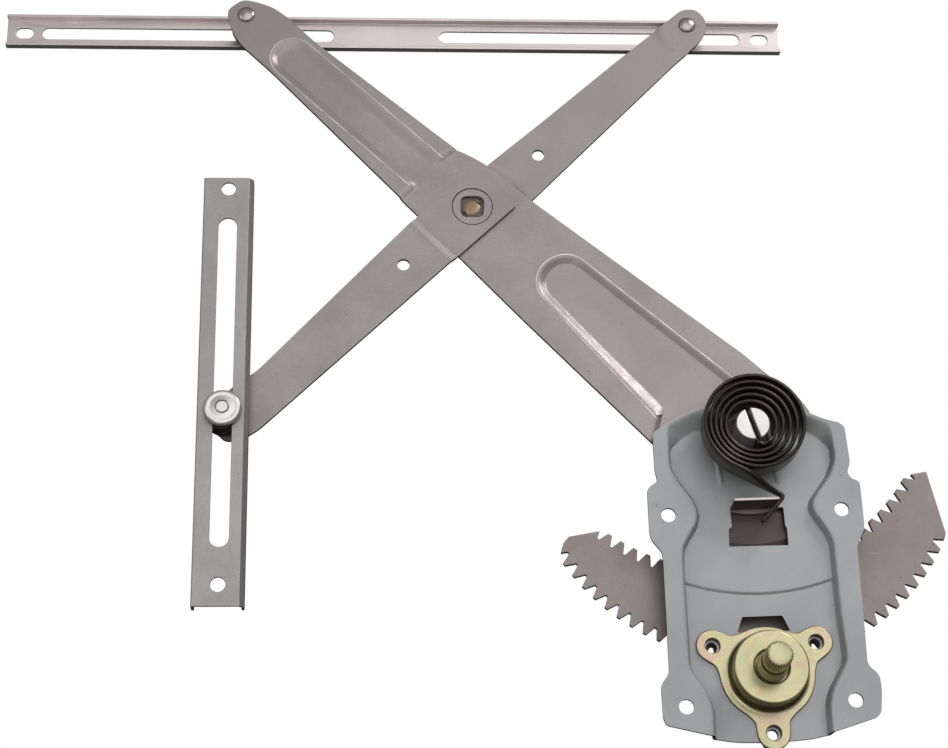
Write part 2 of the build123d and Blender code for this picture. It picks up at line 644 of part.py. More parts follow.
with BuildPart() as lift_arm:
    with BuildSketch(arm_frame.offset(arm_mid)):
        Circle(arm_root_r)
        with BuildLine():
            Polyline(*arm_edge, close=True)
        make_face()
        with Locations((high_bead_end + 60, 0)):
            Rectangle(100, 80, mode=Mode.SUBTRACT)
    extrude(amount=arm_sheet)
    with BuildSketch(arm_frame.offset(arm_high)):
        with BuildLine():
            Polyline(*arm_edge, close=True)
        make_face()
        with Locations((ridge_start - 130, 0)):
            Rectangle(260, 120, mode=Mode.SUBTRACT)
    extrude(amount=arm_sheet)
    with BuildSketch(arm_frame.offset(arm_mid)):
        with BuildLine():
            Polyline(*arm_edge, close=True)
        make_face()
        with Locations((high_bead_start + 100, 0)):
            Rectangle(200, 80, mode=Mode.INTERSECT)
        with BuildLine():
            high_bead(bead_wall)
        make_face(mode=Mode.SUBTRACT)
    extrude(amount=arm_high - arm_mid, mode=Mode.SUBTRACT)
    with BuildSketch(arm_frame.offset(arm_low)):
        with BuildLine():
            Polyline(*arm_edge, close=True)
        make_face()
        Circle(root_dish_r + bead_wall, mode=Mode.INTERSECT)
        Circle(arm_root_r)
        with BuildLine():
            rim_sector(4)
        make_face(mode=Mode.SUBTRACT)
        Circle(rim_dish_r + bead_wall)
        with BuildLine():
            low_bead(bead_wall)
        make_face()
    extrude(amount=arm_sheet)
    add(root_cut.part, mode=Mode.SUBTRACT)
    with BuildSketch(arm_frame.offset(arm_mid + arm_sheet)):
        with BuildLine():
            high_bead(0)
        make_face()
    extrude(amount=arm_high - arm_mid, taper=-45, mode=Mode.SUBTRACT)
    with BuildSketch(arm_frame.offset(arm_low)):
        Circle(stud_r)
        with Locations((pivot_to_cross, 0)):
            Circle(cross_hole_r)
        with Locations((pivot_to_cross + cross_to_lift_roller, 0)):
            Circle(roller_rivet_r)
        with PolarLocations(rivet_circle_r, 3, 30 - arm_angle):
            Circle(rivet_r)
    extrude(amount=arm_high - arm_low + arm_sheet, mode=Mode.SUBTRACT)
lift_arm.part.label = "lift_arm"
export_step(lift_arm.part, "parts/lift_arm.step")

# Balance arm, lower half: it lies over the lift arm, and a crease lifts it clear of the ridges
low_edge = [
    (-15.5, 14.8), (-17.0, 13.3), (-17.0, -13.3), (-15.5, -14.8), (24.0, -14.7), (138.0, -8.0),
    (152.0, -9.8), (166.0, -10.2), (174.0, -5.0), (174.0, 8.0), (168.0, 13.0), (158.0, 14.7), (24.0, 14.7),
]
crease_start = 24.5
crease_run = 5.0
arm_hole_r = 3.1
arm_hole_at = 48.0
low_frame = Plane(origin=(cross[0], cross[1], 0),
                  x_dir=(cos(radians(balance_angle + 180)), sin(radians(balance_angle + 180)), 0), z_dir=(0, 0, 1))
low_side = Plane(origin=low_frame.origin, x_dir=low_frame.x_dir, z_dir=-low_frame.y_dir)
with BuildPart() as balance_arm_lower:
    with BuildSketch(low_side):
        with BuildLine():
            Polyline(
                (-20, balance_low_centre), (crease_start, balance_low_centre),
                (crease_start + crease_run, balance_low_run), (180, balance_low_run),
                (180, balance_low_run + balance_sheet),
                (crease_start + crease_run - 0.4, balance_low_run + balance_sheet),
                (crease_start - 0.4, balance_low_centre + balance_sheet),
                (-20, balance_low_centre + balance_sheet), close=True,
            )
        make_face()
    extrude(amount=25, both=True)
    with BuildSketch(low_frame.offset(balance_low_centre)):
        with BuildLine():
            Polyline(*low_edge, close=True)
        make_face()
        with Locations((arm_hole_at, 0)):
            Circle(arm_hole_r, mode=Mode.SUBTRACT)
        with Locations((cross_to_guide, 0)):
            Circle(rivet_r, mode=Mode.SUBTRACT)
        Circle(cross_hole_r - 2.2, mode=Mode.SUBTRACT)
    extrude(amount=balance_low_run - balance_low_centre + balance_sheet, mode=Mode.INTERSECT)
balance_arm_lower.part.label = "balance_arm_lower"
export_step(balance_arm_lower.part, "parts/balance_arm_lower.step")

# Balance arm, upper half: it lies behind the lift arm and steps up twice on the way to its roller
up_edge = [
    (-14.0, 9.0), (-16.5, 0.0), (-14.0, -9.0), (0.0, -15.5), (28.0, -16.0), (53.0, -14.9), (138.0, -11.5),
    (157.0, -11.7), (165.0, -9.3), (170.0, -4.0), (170.5, 3.5), (165.0, 8.4), (148.0, 9.2), (115.0, 10.7),
    (62.0, 12.2), (24.0, 13.8), (0.0, 15.0),
]
up_crease_r = 27.0
tip_crease_r = 15.0
tip_crease_run = 2.5
up_frame = Plane(origin=(cross[0], cross[1], 0),
                 x_dir=(cos(radians(balance_angle)), sin(radians(balance_angle)), 0), z_dir=(0, 0, 1))
up_side = Plane(origin=up_frame.origin, x_dir=up_frame.x_dir, z_dir=-up_frame.y_dir)
tip_start = cross_to_balance_roller - tip_crease_r
with BuildPart() as balance_arm_upper:
    with BuildSketch(up_side):
        with BuildLine():
            Polyline((0, balance_up_centre), (up_crease_r, balance_up_centre),
                     (up_crease_r + 3, balance_up_run), (200, balance_up_run),
                     (200, balance_up_run + balance_sheet), (up_crease_r + 2.8, balance_up_run + balance_sheet),
                     (up_crease_r - 0.2, balance_up_centre + balance_sheet), (0, balance_up_centre + balance_sheet),
                     close=True)
        make_face()
    revolve(axis=Axis((cross[0], cross[1], 0), (0, 0, 1)))
    with BuildSketch(up_frame.offset(balance_up_run)):
        with Locations((cross_to_balance_roller, 0)):
            Circle(tip_crease_r + tip_crease_run / 2)
    extrude(amount=balance_up_tip - balance_up_run, mode=Mode.SUBTRACT)
    with BuildSketch(up_frame.offset(balance_up_tip)):
        with Locations((cross_to_balance_roller, 0)):
            Circle(tip_crease_r + tip_crease_run)
    extrude(amount=balance_sheet, taper=20)
    with BuildSketch(up_frame.offset(balance_up_centre)):
        with BuildLine():
            Polyline(*up_edge, close=True)
        make_face()
        with Locations((arm_hole_at, 0)):
            Circle(arm_hole_r, mode=Mode.SUBTRACT)
        with Locations((cross_to_balance_roller, 0)):
            Circle(roller_rivet_r, mode=Mode.SUBTRACT)
        Circle(cross_hole_r - 2.2, mode=Mode.SUBTRACT)
    extrude(amount=balance_up_tip - balance_up_centre + balance_sheet, mode=Mode.INTERSECT)
balance_arm_upper.part.label = "balance_arm_upper"
export_step(balance_arm_upper.part, "parts/balance_arm_upper.step")

# Cross joint: a bush through the lift arm that both halves are riveted to
core_r = cross_hole_r - 2.2
cross_plane = Plane(origin=(cross[0], cross[1], 0), x_dir=(1, 0, 0), z_dir=(0, -1, 0))
cross_axis = Axis((cross[0], cross[1], 0), (0, 0, 1))
spacer_r = 12.0
dimple_at = 4.5
dimple_r = 1.35
with BuildPart() as centre_bush:
    with BuildSketch(cross_plane):
        with BuildLine():
            Polyline((core_r, balance_up_centre + balance_sheet), (spacer_r, balance_up_centre + balance_sheet),
                     (spacer_r, arm_mid - 0.1), (cross_hole_r - fit_gap, arm_mid - 0.1),
                     (cross_hole_r - fit_gap, balance_low_centre), (core_r, balance_low_centre), close=True)
        make_face()
    revolve(axis=cross_axis)
centre_bush.part.label = "centre_bush"
export_step(centre_bush.part, "parts/centre_bush.step")

with BuildPart() as centre_rivet:
    with BuildSketch(cross_plane):
        with BuildLine():
            Polyline((0, balance_up_centre - 1.6), (core_r + 1.0, balance_up_centre - 1.6),
                     (core_r + 2.2, balance_up_centre), (core_r, balance_up_centre),
                     (core_r, balance_low_centre + balance_sheet - 0.3),
                     (core_r - 1.7, balance_low_centre + balance_sheet - 0.9),
                     (0, balance_low_centre + balance_sheet - 0.9), close=True)
        make_face()
    revolve(axis=cross_axis)
    dimple_spots = [polar(dimple_at, balance_angle, cross), polar(dimple_at, balance_angle + 180, cross)]
    with BuildSketch(Plane.XY.offset(balance_low_centre + balance_sheet - 0.9)):
        with Locations(*dimple_spots):
            Circle(dimple_r)
    extrude(amount=-1.2, mode=Mode.SUBTRACT)
centre_rivet.part.label = "centre_rivet"
export_step(centre_rivet.part, "parts/centre_rivet.step")

# Rollers: a wheel on the channel's web whose neck runs in the rail's slot, each turning on its rivet
web_front = lift_rail_low + rail_sheet
channel_half = lift_rail_width / 2 - rail_sheet
flange_tip = lift_rail_low + lift_rail_depth
roller_low_r = channel_half - running_gap - 0.2
neck_low = lift_rail_low + 0.1


def roller_section(top):
    """Half section of a roller up to the underside of its arm."""
    bore = roller_rivet_r + fit_gap
    return [(bore, neck_low), (roller_neck_r, neck_low), (roller_neck_r, web_front + 0.2),
            (roller_low_r, web_front + 0.2), (roller_low_r, flange_tip + running_gap),
            (roller_r - 0.4, flange_tip + running_gap), (roller_r, flange_tip + running_gap + 0.4),
            (roller_r, top - 0.5), (roller_r - 0.5, top), (bore, top)]


def rivet_section(seat):
    """Half section of a roller rivet with a domed head on its seat."""
    return [(0, neck_low), (roller_rivet_r, neck_low), (roller_rivet_r, seat), (rivet_head_r, seat),
            (rivet_head_r - 0.1, seat + 0.5)]


for name, place, arm_face, arm_low_face in (
    ("lift_arm", lift_roller_at, arm_high + arm_sheet, arm_high),
    ("balance_arm", balance_roller_at, balance_up_tip + balance_sheet, balance_up_tip),
):
    spot = Plane(origin=(place[0], place[1], 0), x_dir=(1, 0, 0), z_dir=(0, -1, 0))
    spot_axis = Axis((place[0], place[1], 0), (0, 0, 1))
    with BuildPart() as roller:
        with BuildSketch(spot):
            with BuildLine():
                Polyline(*roller_section(arm_low_face - 0.1), close=True)
            make_face()
        revolve(axis=spot_axis)
    roller.part.label = name + "_roller"
    export_step(roller.part, "parts/" + name + "_roller.step")
    with BuildPart() as roller_rivet:
        with BuildSketch(spot):
            section = rivet_section(arm_face)
            dome_half, dome_foot = section[-1]
            dome_rise = arm_face + rivet_head_height - dome_foot
            dome_radius = (dome_half ** 2 + dome_rise ** 2) / (2 * dome_rise)
            dome_top = (0, arm_face + rivet_head_height)
            dome_side = (dome_half / 2, dome_top[1] - dome_radius + (dome_radius ** 2 - dome_half ** 2 / 4) ** 0.5)
            with BuildLine():
                Polyline(*section)
                ThreePointArc(section[-1], dome_side, dome_top)
                Line(dome_top, section[0])
            make_face()
        revolve(axis=spot_axis)
    roller_rivet.part.label = name + "_roller_rivet"
    export_step(roller_rivet.part, "parts/" + name + "_roller_rivet.step")

# Lift rail: a shallow channel with two running slots and an oval fixing hole at each end
lift_frame = Plane(origin=(lift_roller_at[0], lift_roller_at[1], 0),
                   x_dir=(cos(radians(rail_angle)), sin(radians(rail_angle)), 0), z_dir=(0, 0, 1))
lift_length = lift_rail_left + lift_rail_right
lift_middle = (lift_rail_right - lift_rail_left) / 2
slot_left = (-107.5, 45.0)
slot_right = (100.5, 260.0)
oval_places = (-116.5, 270.5)
oval_length = 9.2
oval_width = 6.3
lift_bend_r = 1.2
with BuildPart() as lift_rail:
    with BuildSketch(lift_frame.offset(lift_rail_low)):
        with Locations((lift_middle, 0)):
            Rectangle(lift_length, lift_rail_width)
    extrude(amount=lift_rail_depth)
    back_edges = lift_rail.faces().sort_by(Axis.Z)[0].edges().sort_by(SortBy.LENGTH)[-2:]
    fillet(back_edges, radius=rail_sheet + 0.4)
    with BuildSketch(lift_frame.offset(web_front)):
        with Locations((lift_middle, 0)):
            Rectangle(lift_length, 2 * channel_half)
    extrude(amount=lift_rail_depth, mode=Mode.SUBTRACT)
    with BuildSketch(lift_frame.offset(lift_rail_low)):
        for slot_start, slot_end in (slot_left, slot_right):
            with Locations(((slot_start + slot_end) / 2, 0)):
                SlotOverall(slot_end - slot_start, lift_slot_width)
        with Locations(*[(place, 0) for place in oval_places]):
            SlotOverall(oval_length, oval_width)
    extrude(amount=rail_sheet, mode=Mode.SUBTRACT)
lift_rail.part.label = "lift_rail"
export_step(lift_rail.part, "parts/lift_rail.step")

# Guide rail: a deeper channel that faces back, held to the balance arm by a button in its slot
guide_up_angle = 90 - guide_lean
guide_frame = Plane(origin=(guide_at[0], guide_at[1], 0),
                    x_dir=(cos(radians(guide_up_angle)), sin(radians(guide_up_angle)), 0), z_dir=(0, 0, 1))
guide_web_low = guide_rail_low + guide_rail_depth - rail_sheet
guide_web_top = guide_rail_low + guide_rail_depth
guide_slot_up = 101.3
guide_slot_down = 67.7
guide_holes = (117.3, -85.7)
guide_hole_r = 3.5
guide_bevel = 2.2
guide_middle = (guide_rail_up - guide_rail_down) / 2
guide_length = guide_rail_up + guide_rail_down
with BuildPart() as guide_rail:
    end_plane = Plane(origin=guide_frame.origin - guide_frame.x_dir * guide_rail_down,
                      x_dir=guide_frame.y_dir, z_dir=guide_frame.x_dir)
    half_width = guide_rail_width / 2
    with BuildSketch(end_plane):
        with BuildLine():
            Polyline(
                (half_width, guide_rail_low), (half_width, guide_web_top - 0.4), (half_width - 0.4, guide_web_top),
                (-half_width + guide_bevel, guide_web_top), (-half_width, guide_web_top - guide_bevel),
                (-half_width, guide_rail_low), (-half_width + rail_sheet, guide_rail_low),
                (-half_width + rail_sheet, guide_web_low - guide_bevel + 0.9),
                (-half_width + guide_bevel + 0.5, guide_web_low), (half_width - rail_sheet, guide_web_low),
                (half_width - rail_sheet, guide_rail_low), close=True,
            )
        make_face()
    extrude(amount=guide_length)
    with BuildSketch(guide_frame.offset(guide_web_low)):
        with Locations(((guide_slot_up - guide_slot_down) / 2, 0)):
            SlotOverall(guide_slot_up + guide_slot_down, guide_slot_width)
        with Locations(*[(place, 0) for place in guide_holes]):
            Circle(guide_hole_r)
    extrude(amount=rail_sheet, mode=Mode.SUBTRACT)
guide_rail.part.label = "guide_rail"
export_step(guide_rail.part, "parts/guide_rail.step")

# Guide button: a rivet pin in the balance arm carries a bush, a washer and a cap across the slot
guide_plane = Plane(origin=(guide_at[0], guide_at[1], 0), x_dir=(1, 0, 0), z_dir=(0, -1, 0))
guide_axis = Axis((guide_at[0], guide_at[1], 0), (0, 0, 1))
arm_face = balance_low_run + balance_sheet
neck_r = guide_slot_width / 2 - running_gap
washer_low = guide_web_top + 0.2
washer_top = washer_low + 1.0
cap_top = washer_top + 2.6
pin_bore = rivet_r + fit_gap
with BuildPart() as guide_pin:
    with BuildSketch(guide_plane):
        with BuildLine():
            Polyline((0, balance_low_run - 1.5), (rivet_r + 1.0, balance_low_run - 1.5),
                     (rivet_r + 1.8, balance_low_run - 0.6), (rivet_r + 1.8, balance_low_run),
                     (rivet_r, balance_low_run), (rivet_r, cap_top + 0.4), (rivet_r - 0.4, cap_top + 0.8),
                     (0, cap_top + 0.8), close=True)
        make_face()
    revolve(axis=guide_axis)
guide_pin.part.label = "guide_pin"
export_step(guide_pin.part, "parts/guide_pin.step")

with BuildPart() as guide_bush:
    with BuildSketch(guide_plane):
        with BuildLine():
            Polyline((pin_bore, arm_face + 0.1), (guide_button_r - 0.8, arm_face + 0.1),
                     (guide_button_r - 0.2, arm_face + 0.7), (guide_button_r - 0.2, arm_face + 3.4),
                     (guide_button_r - 1.0, arm_face + 3.9), (guide_button_r - 1.0, arm_face + 4.9),
                     (guide_button_r - 0.2, arm_face + 5.4), (guide_button_r - 0.2, guide_web_low - 0.2),
                     (neck_r, guide_web_low - 0.2), (neck_r, washer_low), (pin_bore, washer_low), close=True)
        make_face()
    revolve(axis=guide_axis)
guide_bush.part.label = "guide_bush"
export_step(guide_bush.part, "parts/guide_bush.step")

with BuildPart() as guide_washer:
    with BuildSketch(Plane((guide_at[0], guide_at[1], washer_low))):
        Circle(guide_button_r - 0.9)
        Circle(pin_bore, mode=Mode.SUBTRACT)
    extrude(amount=washer_top - washer_low)
guide_washer.part.label = "guide_washer"
export_step(guide_washer.part, "parts/guide_washer.step")

with BuildPart() as guide_cap:
    with BuildSketch(guide_plane):
        with BuildLine():
            Polyline((pin_bore, washer_top), (guide_button_r - 0.5, washer_top), (guide_button_r, washer_top + 0.5),
                     (guide_button_r, washer_top + 1.3), (guide_button_r - 0.9, washer_top + 2.0),
                     (pin_bore + 1.6, washer_top + 2.0), (pin_bore + 0.9, cap_top), (pin_bore, cap_top), close=True)
        make_face()
    revolve(axis=guide_axis)
guide_cap.part.label = "guide_cap"
export_step(guide_cap.part, "parts/guide_cap.step")
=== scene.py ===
"""Dresses the car window regulator: pressed steel arms, rails, crank and clock spring on a pale floor."""

from __future__ import annotations

import logging
import math
from dataclasses import dataclass, field
from enum import Enum
from typing import Callable, Sequence

import bpy
import numpy as np
from mathutils import Matrix, Vector
from mathutils.geometry import delaunay_2d_cdt

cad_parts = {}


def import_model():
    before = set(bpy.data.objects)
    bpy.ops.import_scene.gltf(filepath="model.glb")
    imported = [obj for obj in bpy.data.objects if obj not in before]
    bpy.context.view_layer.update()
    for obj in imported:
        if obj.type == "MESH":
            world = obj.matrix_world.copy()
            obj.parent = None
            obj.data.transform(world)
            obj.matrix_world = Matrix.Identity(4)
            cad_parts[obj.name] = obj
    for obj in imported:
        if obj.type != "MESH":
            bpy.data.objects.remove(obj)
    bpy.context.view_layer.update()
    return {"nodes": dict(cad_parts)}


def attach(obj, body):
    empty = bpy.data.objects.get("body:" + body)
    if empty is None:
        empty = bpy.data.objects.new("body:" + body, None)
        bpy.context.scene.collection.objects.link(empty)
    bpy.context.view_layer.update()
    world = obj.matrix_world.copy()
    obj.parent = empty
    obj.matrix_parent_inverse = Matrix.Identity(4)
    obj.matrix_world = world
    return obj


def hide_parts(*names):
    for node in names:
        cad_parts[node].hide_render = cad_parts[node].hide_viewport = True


LOG = logging.getLogger("window_regulator")
MM = 0.001
Point = tuple[float, float]
Colour = tuple[float, float, float, float]
Socket = bpy.types.NodeSocket
WHITE: Colour = (1.0, 1.0, 1.0, 1.0)


class Body(str, Enum):
    """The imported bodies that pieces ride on."""

    PLATE = "plate"
    CRANK = "crank"
    LIFT_ARM = "lift_arm"
    BALANCE_ARM = "balance_arm"
    GUIDE_SLIDER = "guide_slider"


class Slot(str, Enum):
    """The record's material slots."""

    ARM = "arm_steel"
    PLATE = "plate_paint"
    SPRING = "spring_steel"
    BRIGHT = "bright_zinc"
    YELLOW = "yellow_zinc"
    BRASS = "bush_brass"


def srgb(text: str) -> Colour:
    """Turns an sRGB hex colour to linear.

    Args:
        text: six hex digits.

    Returns:
        Linear red, green, blue and an alpha of 1.
    """
    parts = [int(text[index:index + 2], 16) / 255 for index in (0, 2, 4)]
    red, green, blue = [part / 12.92 if part <= 0.04045 else ((part + 0.055) / 1.055) ** 2.4
                        for part in parts]
    return red, green, blue, 1.0


def cells(size_mm: float) -> float:
    """Scale of a pattern whose cells are this many millimetres wide."""
    return 1.0 / (size_mm * MM)


def add_node(tree: bpy.types.NodeTree, kind: str, settings: dict | None = None,
             values: dict | None = None, links: dict | None = None) -> bpy.types.Node:
    """Adds a node with its settings, socket values and links.

    Args:
        tree: the material's node tree.
        kind: the node's type.
        settings: attributes of the node.
        values: socket values by name or number.
        links: sockets to link in, by input name or number.

    Returns:
        The new node.
    """
    node = tree.nodes.new(kind)
    for name, value in (settings or {}).items():
        setattr(node, name, value)
    for name, value in (values or {}).items():
        node.inputs[name].default_value = value
    for name, socket in (links or {}).items():
        tree.links.new(socket, node.inputs[name])
    return node


def laid_over(tree: bpy.types.NodeTree, under: Socket | Colour, tone: Socket | Colour, pattern: Socket,
              reach: tuple[float, float], share: float) -> Socket:
    """Lays a tone over a colour where a pattern is strong.

    Args:
        tree: the material's node tree.
        under: the colour below.
        tone: the tone's colour.
        pattern: the value that places the tone.
        reach: the pattern's values where the tone starts and where it is full.
        share: how much of the colour below the full tone covers.

    Returns:
        The new colour.
    """
    weight = add_node(tree, "ShaderNodeMapRange", None,
                      {"From Min": reach[0], "From Max": reach[1], "To Min": 0.0, "To Max": share},
                      {"Value": pattern})
    colours = {6: under, 7: tone}
    plain = {number: colour for number, colour in colours.items() if isinstance(colour, tuple)}
    linked = {number: colour for number, colour in colours.items() if number not in plain}
    mixed = add_node(tree, "ShaderNodeMix", {"data_type": "RGBA"}, plain, {0: weight.outputs[0], **linked})
    return mixed.outputs[2]


@dataclass(frozen=True)
class Metal:
    """A bare, oiled, coated or plated steel surface with soft mottling, fine grain, specks and scratches.

    Colours are sRGB hex values. A share is how much of the colour below a pattern covers where it is
    strongest. The real grain is finer than a pixel of the render, so it is drawn several times as coarse.
    Where set, a lighter colour is painted on convex edges as a highlight, and a darker one round one
    place as shade.
    """

    name: str
    base: str
    shade: str
    metallic: float
    roughness: float
    mottle_mm: float = 30.0
    mottle_share: float = 0.5
    grain_mm: float = 0.6
    grain_share: float = 0.5
    speck: str = "4f4744"
    speck_mm: float = 2.2
    speck_share: float = 0.5
    scratch_mm: float = 26.0
    scratch_thinness: float = 16.0
    scratch_turns: tuple[float, ...] = (0.4, 1.7, 2.6)
    scratch_light: float = 1.7
    scratch_share: float = 0.25
    rough_spread: float = 0.08
    bump_mm: float = 0.008
    film: tuple[str, ...] = ()
    film_drift_mm: float = 11.0
    film_patch_mm: float = 8.0
    film_share: float = 0.5
    edge_highlight: str = "cbc3c3"
    edge_highlight_share: float = 0.0
    painted_shade_place: tuple[float, float, float] = (0.0, 0.0, 0.0)
    painted_shade_r: float = 0.0
    painted_shade_share: float = 0.9

    def build(self) -> bpy.types.Material:
        """Makes the material.

        Returns:
            The finished material.
        """
        material = bpy.data.materials.new(self.name)
        material.use_nodes = True
        tree = material.node_tree
        tree.nodes.clear()
        place = add_node(tree, "ShaderNodeTexCoord").outputs["Object"]
        mottle = add_node(tree, "ShaderNodeTexNoise", None,
                          {"Scale": cells(self.mottle_mm), "Detail": 5.0, "Roughness": 0.6},
                          {"Vector": place}).outputs[0]
        grain = add_node(tree, "ShaderNodeTexNoise", None,
                         {"Scale": cells(self.grain_mm), "Detail": 2.0, "Roughness": 0.5},
                         {"Vector": place}).outputs[0]
        weak, strong = 0.3, 0.7
        colour = laid_over(tree, srgb(self.base), srgb(self.shade), mottle, (weak, strong), self.mottle_share)
        if self.film:
            colour = self.filmed(tree, place, colour)
        colour = laid_over(tree, colour, srgb(self.shade), grain, (0.42, 0.75), self.grain_share)
        if self.speck_share > 0:
            colour = self.specked(tree, place, colour)
        if self.scratch_share > 0:
            colour = self.scratched(tree, place, colour)
        # Painted highlight: a lighter colour on convex edges, found by their pointiness.
        if self.edge_highlight_share > 0:
            sharp = add_node(tree, "ShaderNodeNewGeometry").outputs["Pointiness"]
            colour = laid_over(tree, colour, srgb(self.edge_highlight), sharp, (0.505, 0.56), self.edge_highlight_share)
        # Painted shade: darker towards one place on the part.
        if self.painted_shade_r > 0:
            colour = self.painted_shade(tree, place, colour)
        rough = add_node(tree, "ShaderNodeMapRange", None, {
            "From Min": weak, "From Max": strong,
            "To Min": self.roughness - self.rough_spread, "To Max": self.roughness + self.rough_spread,
        }, {"Value": mottle})
        bump = add_node(tree, "ShaderNodeBump", None, {"Strength": 0.5, "Distance": self.bump_mm * MM},
                        {"Height": grain})
        shader = add_node(tree, "ShaderNodeBsdfPrincipled", None, {"Metallic": self.metallic},
                          {"Base Color": colour, "Roughness": rough.outputs[0], "Normal": bump.outputs[0]})
        add_node(tree, "ShaderNodeOutputMaterial", None, None, {"Surface": shader.outputs[0]})
        return material

    def filmed(self, tree: bpy.types.NodeTree, place: Socket, colour: Socket) -> Socket:
        """Lays the drifting pink and green film of passivated zinc over a colour, in patches.

        Args:
            tree: the material's node tree.
            place: the surface's place on the part.
            colour: the colour below.

        Returns:
            The new colour.
        """
        drift = add_node(tree, "ShaderNodeTexNoise", None,
                         {"Scale": cells(self.film_drift_mm), "Detail": 1.0, "Roughness": 0.4},
                         {"Vector": place})
        ramp = add_node(tree, "ShaderNodeValToRGB", None, None, {0: drift.outputs[0]})
        elements = ramp.color_ramp.elements
        first, last = 0.36, 0.64
        stops = [first + (last - first) * index / (len(self.film) - 1) for index in range(len(self.film))]
        elements[0].position, elements[0].color = stops[0], srgb(self.film[0])
        elements[1].position, elements[1].color = stops[-1], srgb(self.film[-1])
        for stop, text in zip(stops[1:-1], self.film[1:-1]):
            elements.new(stop).color = srgb(text)
        patches = add_node(tree, "ShaderNodeTexNoise", None,
                           {"Scale": cells(self.film_patch_mm), "Detail": 1.0, "Roughness": 0.4},
                           {"Vector": place})
        return laid_over(tree, colour, ramp.outputs[0], patches.outputs[0], (0.35, 0.65), self.film_share)

    def specked(self, tree: bpy.types.NodeTree, place: Socket, colour: Socket) -> Socket:
        """Lays small dark specks over a colour.

        Args:
            tree: the material's node tree.
            place: the surface's place on the part.
            colour: the colour below.

        Returns:
            The new colour.
        """
        spots = add_node(tree, "ShaderNodeTexNoise", None,
                         {"Scale": cells(self.speck_mm), "Detail": 2.0, "Roughness": 0.5}, {"Vector": place})
        return laid_over(tree, colour, srgb(self.speck), spots.outputs[0], (0.735, 0.775), self.speck_share)

    def scratched(self, tree: bpy.types.NodeTree, place: Socket, colour: Socket) -> Socket:
        """Lays thin long light marks that run several ways over a colour.

        Args:
            tree: the material's node tree.
            place: the surface's place on the part.
            colour: the colour below.

        Returns:
            The new colour.
        """
        marks: list[Socket] = []
        for turn in self.scratch_turns:
            drawn_out = add_node(tree, "ShaderNodeMapping", None,
                                 {"Rotation": (0.0, 0.0, turn), "Scale": (1.0, self.scratch_thinness, 1.0)},
                                 {"Vector": place})
            lines = add_node(tree, "ShaderNodeTexNoise", None,
                             {"Scale": cells(self.scratch_mm), "Detail": 4.0, "Roughness": 0.7},
                             {"Vector": drawn_out.outputs[0]})
            marks.append(lines.outputs[0])
        strongest = marks[0]
        for mark in marks[1:]:
            strongest = add_node(tree, "ShaderNodeMath", {"operation": "MAXIMUM"}, None,
                                 {0: strongest, 1: mark}).outputs[0]
        lighter = tuple(min(1.0, part * self.scratch_light) for part in srgb(self.base)[:3]) + (1.0,)
        return laid_over(tree, colour, lighter, strongest, (0.70, 0.74), self.scratch_share)

    def painted_shade(self, tree: bpy.types.NodeTree, place: Socket, colour: Socket) -> Socket:
        """Paints shade over a colour, darker towards one place on the part.

        Args:
            tree: the material's node tree.
            place: the surface's place on the part.
            colour: the colour below.

        Returns:
            The new colour.
        """
        away = add_node(tree, "ShaderNodeVectorMath", {"operation": "DISTANCE"},
                        {1: tuple(part * MM for part in self.painted_shade_place)}, {0: place})
        reach = (self.painted_shade_r * MM, 0.8 * self.painted_shade_r * MM)
        return laid_over(tree, colour, srgb(self.speck), away.outputs["Value"], reach, self.painted_shade_share)


@dataclass(frozen=True)
class Nylon:
    """Moulded black nylon with a faint mould texture."""

    name: str = "moulded black nylon"
    dark: str = "0e0e0e"
    light: str = "242322"
    roughness: float = 0.40
    ior: float = 1.53
    texture_mm: float = 0.8
    bump_mm: float = 0.02

    def build(self) -> bpy.types.Material:
        """Makes the material.

        Returns:
            The finished material.
        """
        material = bpy.data.materials.new(self.name)
        material.use_nodes = True
        tree = material.node_tree
        tree.nodes.clear()
        place = add_node(tree, "ShaderNodeTexCoord").outputs["Object"]
        texture = add_node(tree, "ShaderNodeTexNoise", None,
                           {"Scale": cells(self.texture_mm), "Detail": 3.0, "Roughness": 0.5},
                           {"Vector": place}).outputs[0]
        colour = laid_over(tree, srgb(self.dark), srgb(self.light), texture, (0.0, 1.0), 1.0)
        bump = add_node(tree, "ShaderNodeBump", None, {"Strength": 0.3, "Distance": self.bump_mm * MM},
                        {"Height": texture})
        shader = add_node(tree, "ShaderNodeBsdfPrincipled", None,
                          {"Roughness": self.roughness, "IOR": self.ior},
                          {"Base Color": colour, "Normal": bump.outputs[0]})
        add_node(tree, "ShaderNodeOutputMaterial", None, None, {"Surface": shader.outputs[0]})
        return material


# Cold rolled steel, bare and lightly oiled: a warm mauve grey with a fine even grain and a soft sheen.
ARM_STEEL = Metal("bare rolled steel", "8e8686", "797171", 0.55, 0.42, mottle_share=0.3, grain_share=0.6,
                  scratch_share=0.35, bump_mm=0.012)
# The same steel, lighter, painted along convex creases and on edge rounds as a highlight: light in short
# stretches, dull between them.
PAINTED_HIGHLIGHT_STEEL = Metal("painted highlight on rolled steel", "d6cece", "9a9292", 0.6, 0.38, mottle_mm=9.0, mottle_share=1.0,
                     speck_share=0.0, scratch_share=0.0)
# Lighter steel with a coarse sparkle, painted on one wall of the bead as a highlight.
BEAD_WALL_HIGHLIGHT_STEEL = Metal("painted highlight on bead wall", "a39b9b", "8a8282", 0.55, 0.44, mottle_mm=14.0, grain_mm=1.3,
                        grain_share=0.8, speck_share=0.0, scratch_share=0.6, bump_mm=0.03)
# The sector's steel: browner and scratched, with painted shade darkening it round where the plate's window
# shows it.
SECTOR_STEEL = Metal("scratched sector steel", "827976", "6f6764", 0.55, 0.42, mottle_share=0.4,
                     speck="3b3431", scratch_share=0.6, painted_shade_place=(2.0, 70.0, -29.0), painted_shade_r=27.0)
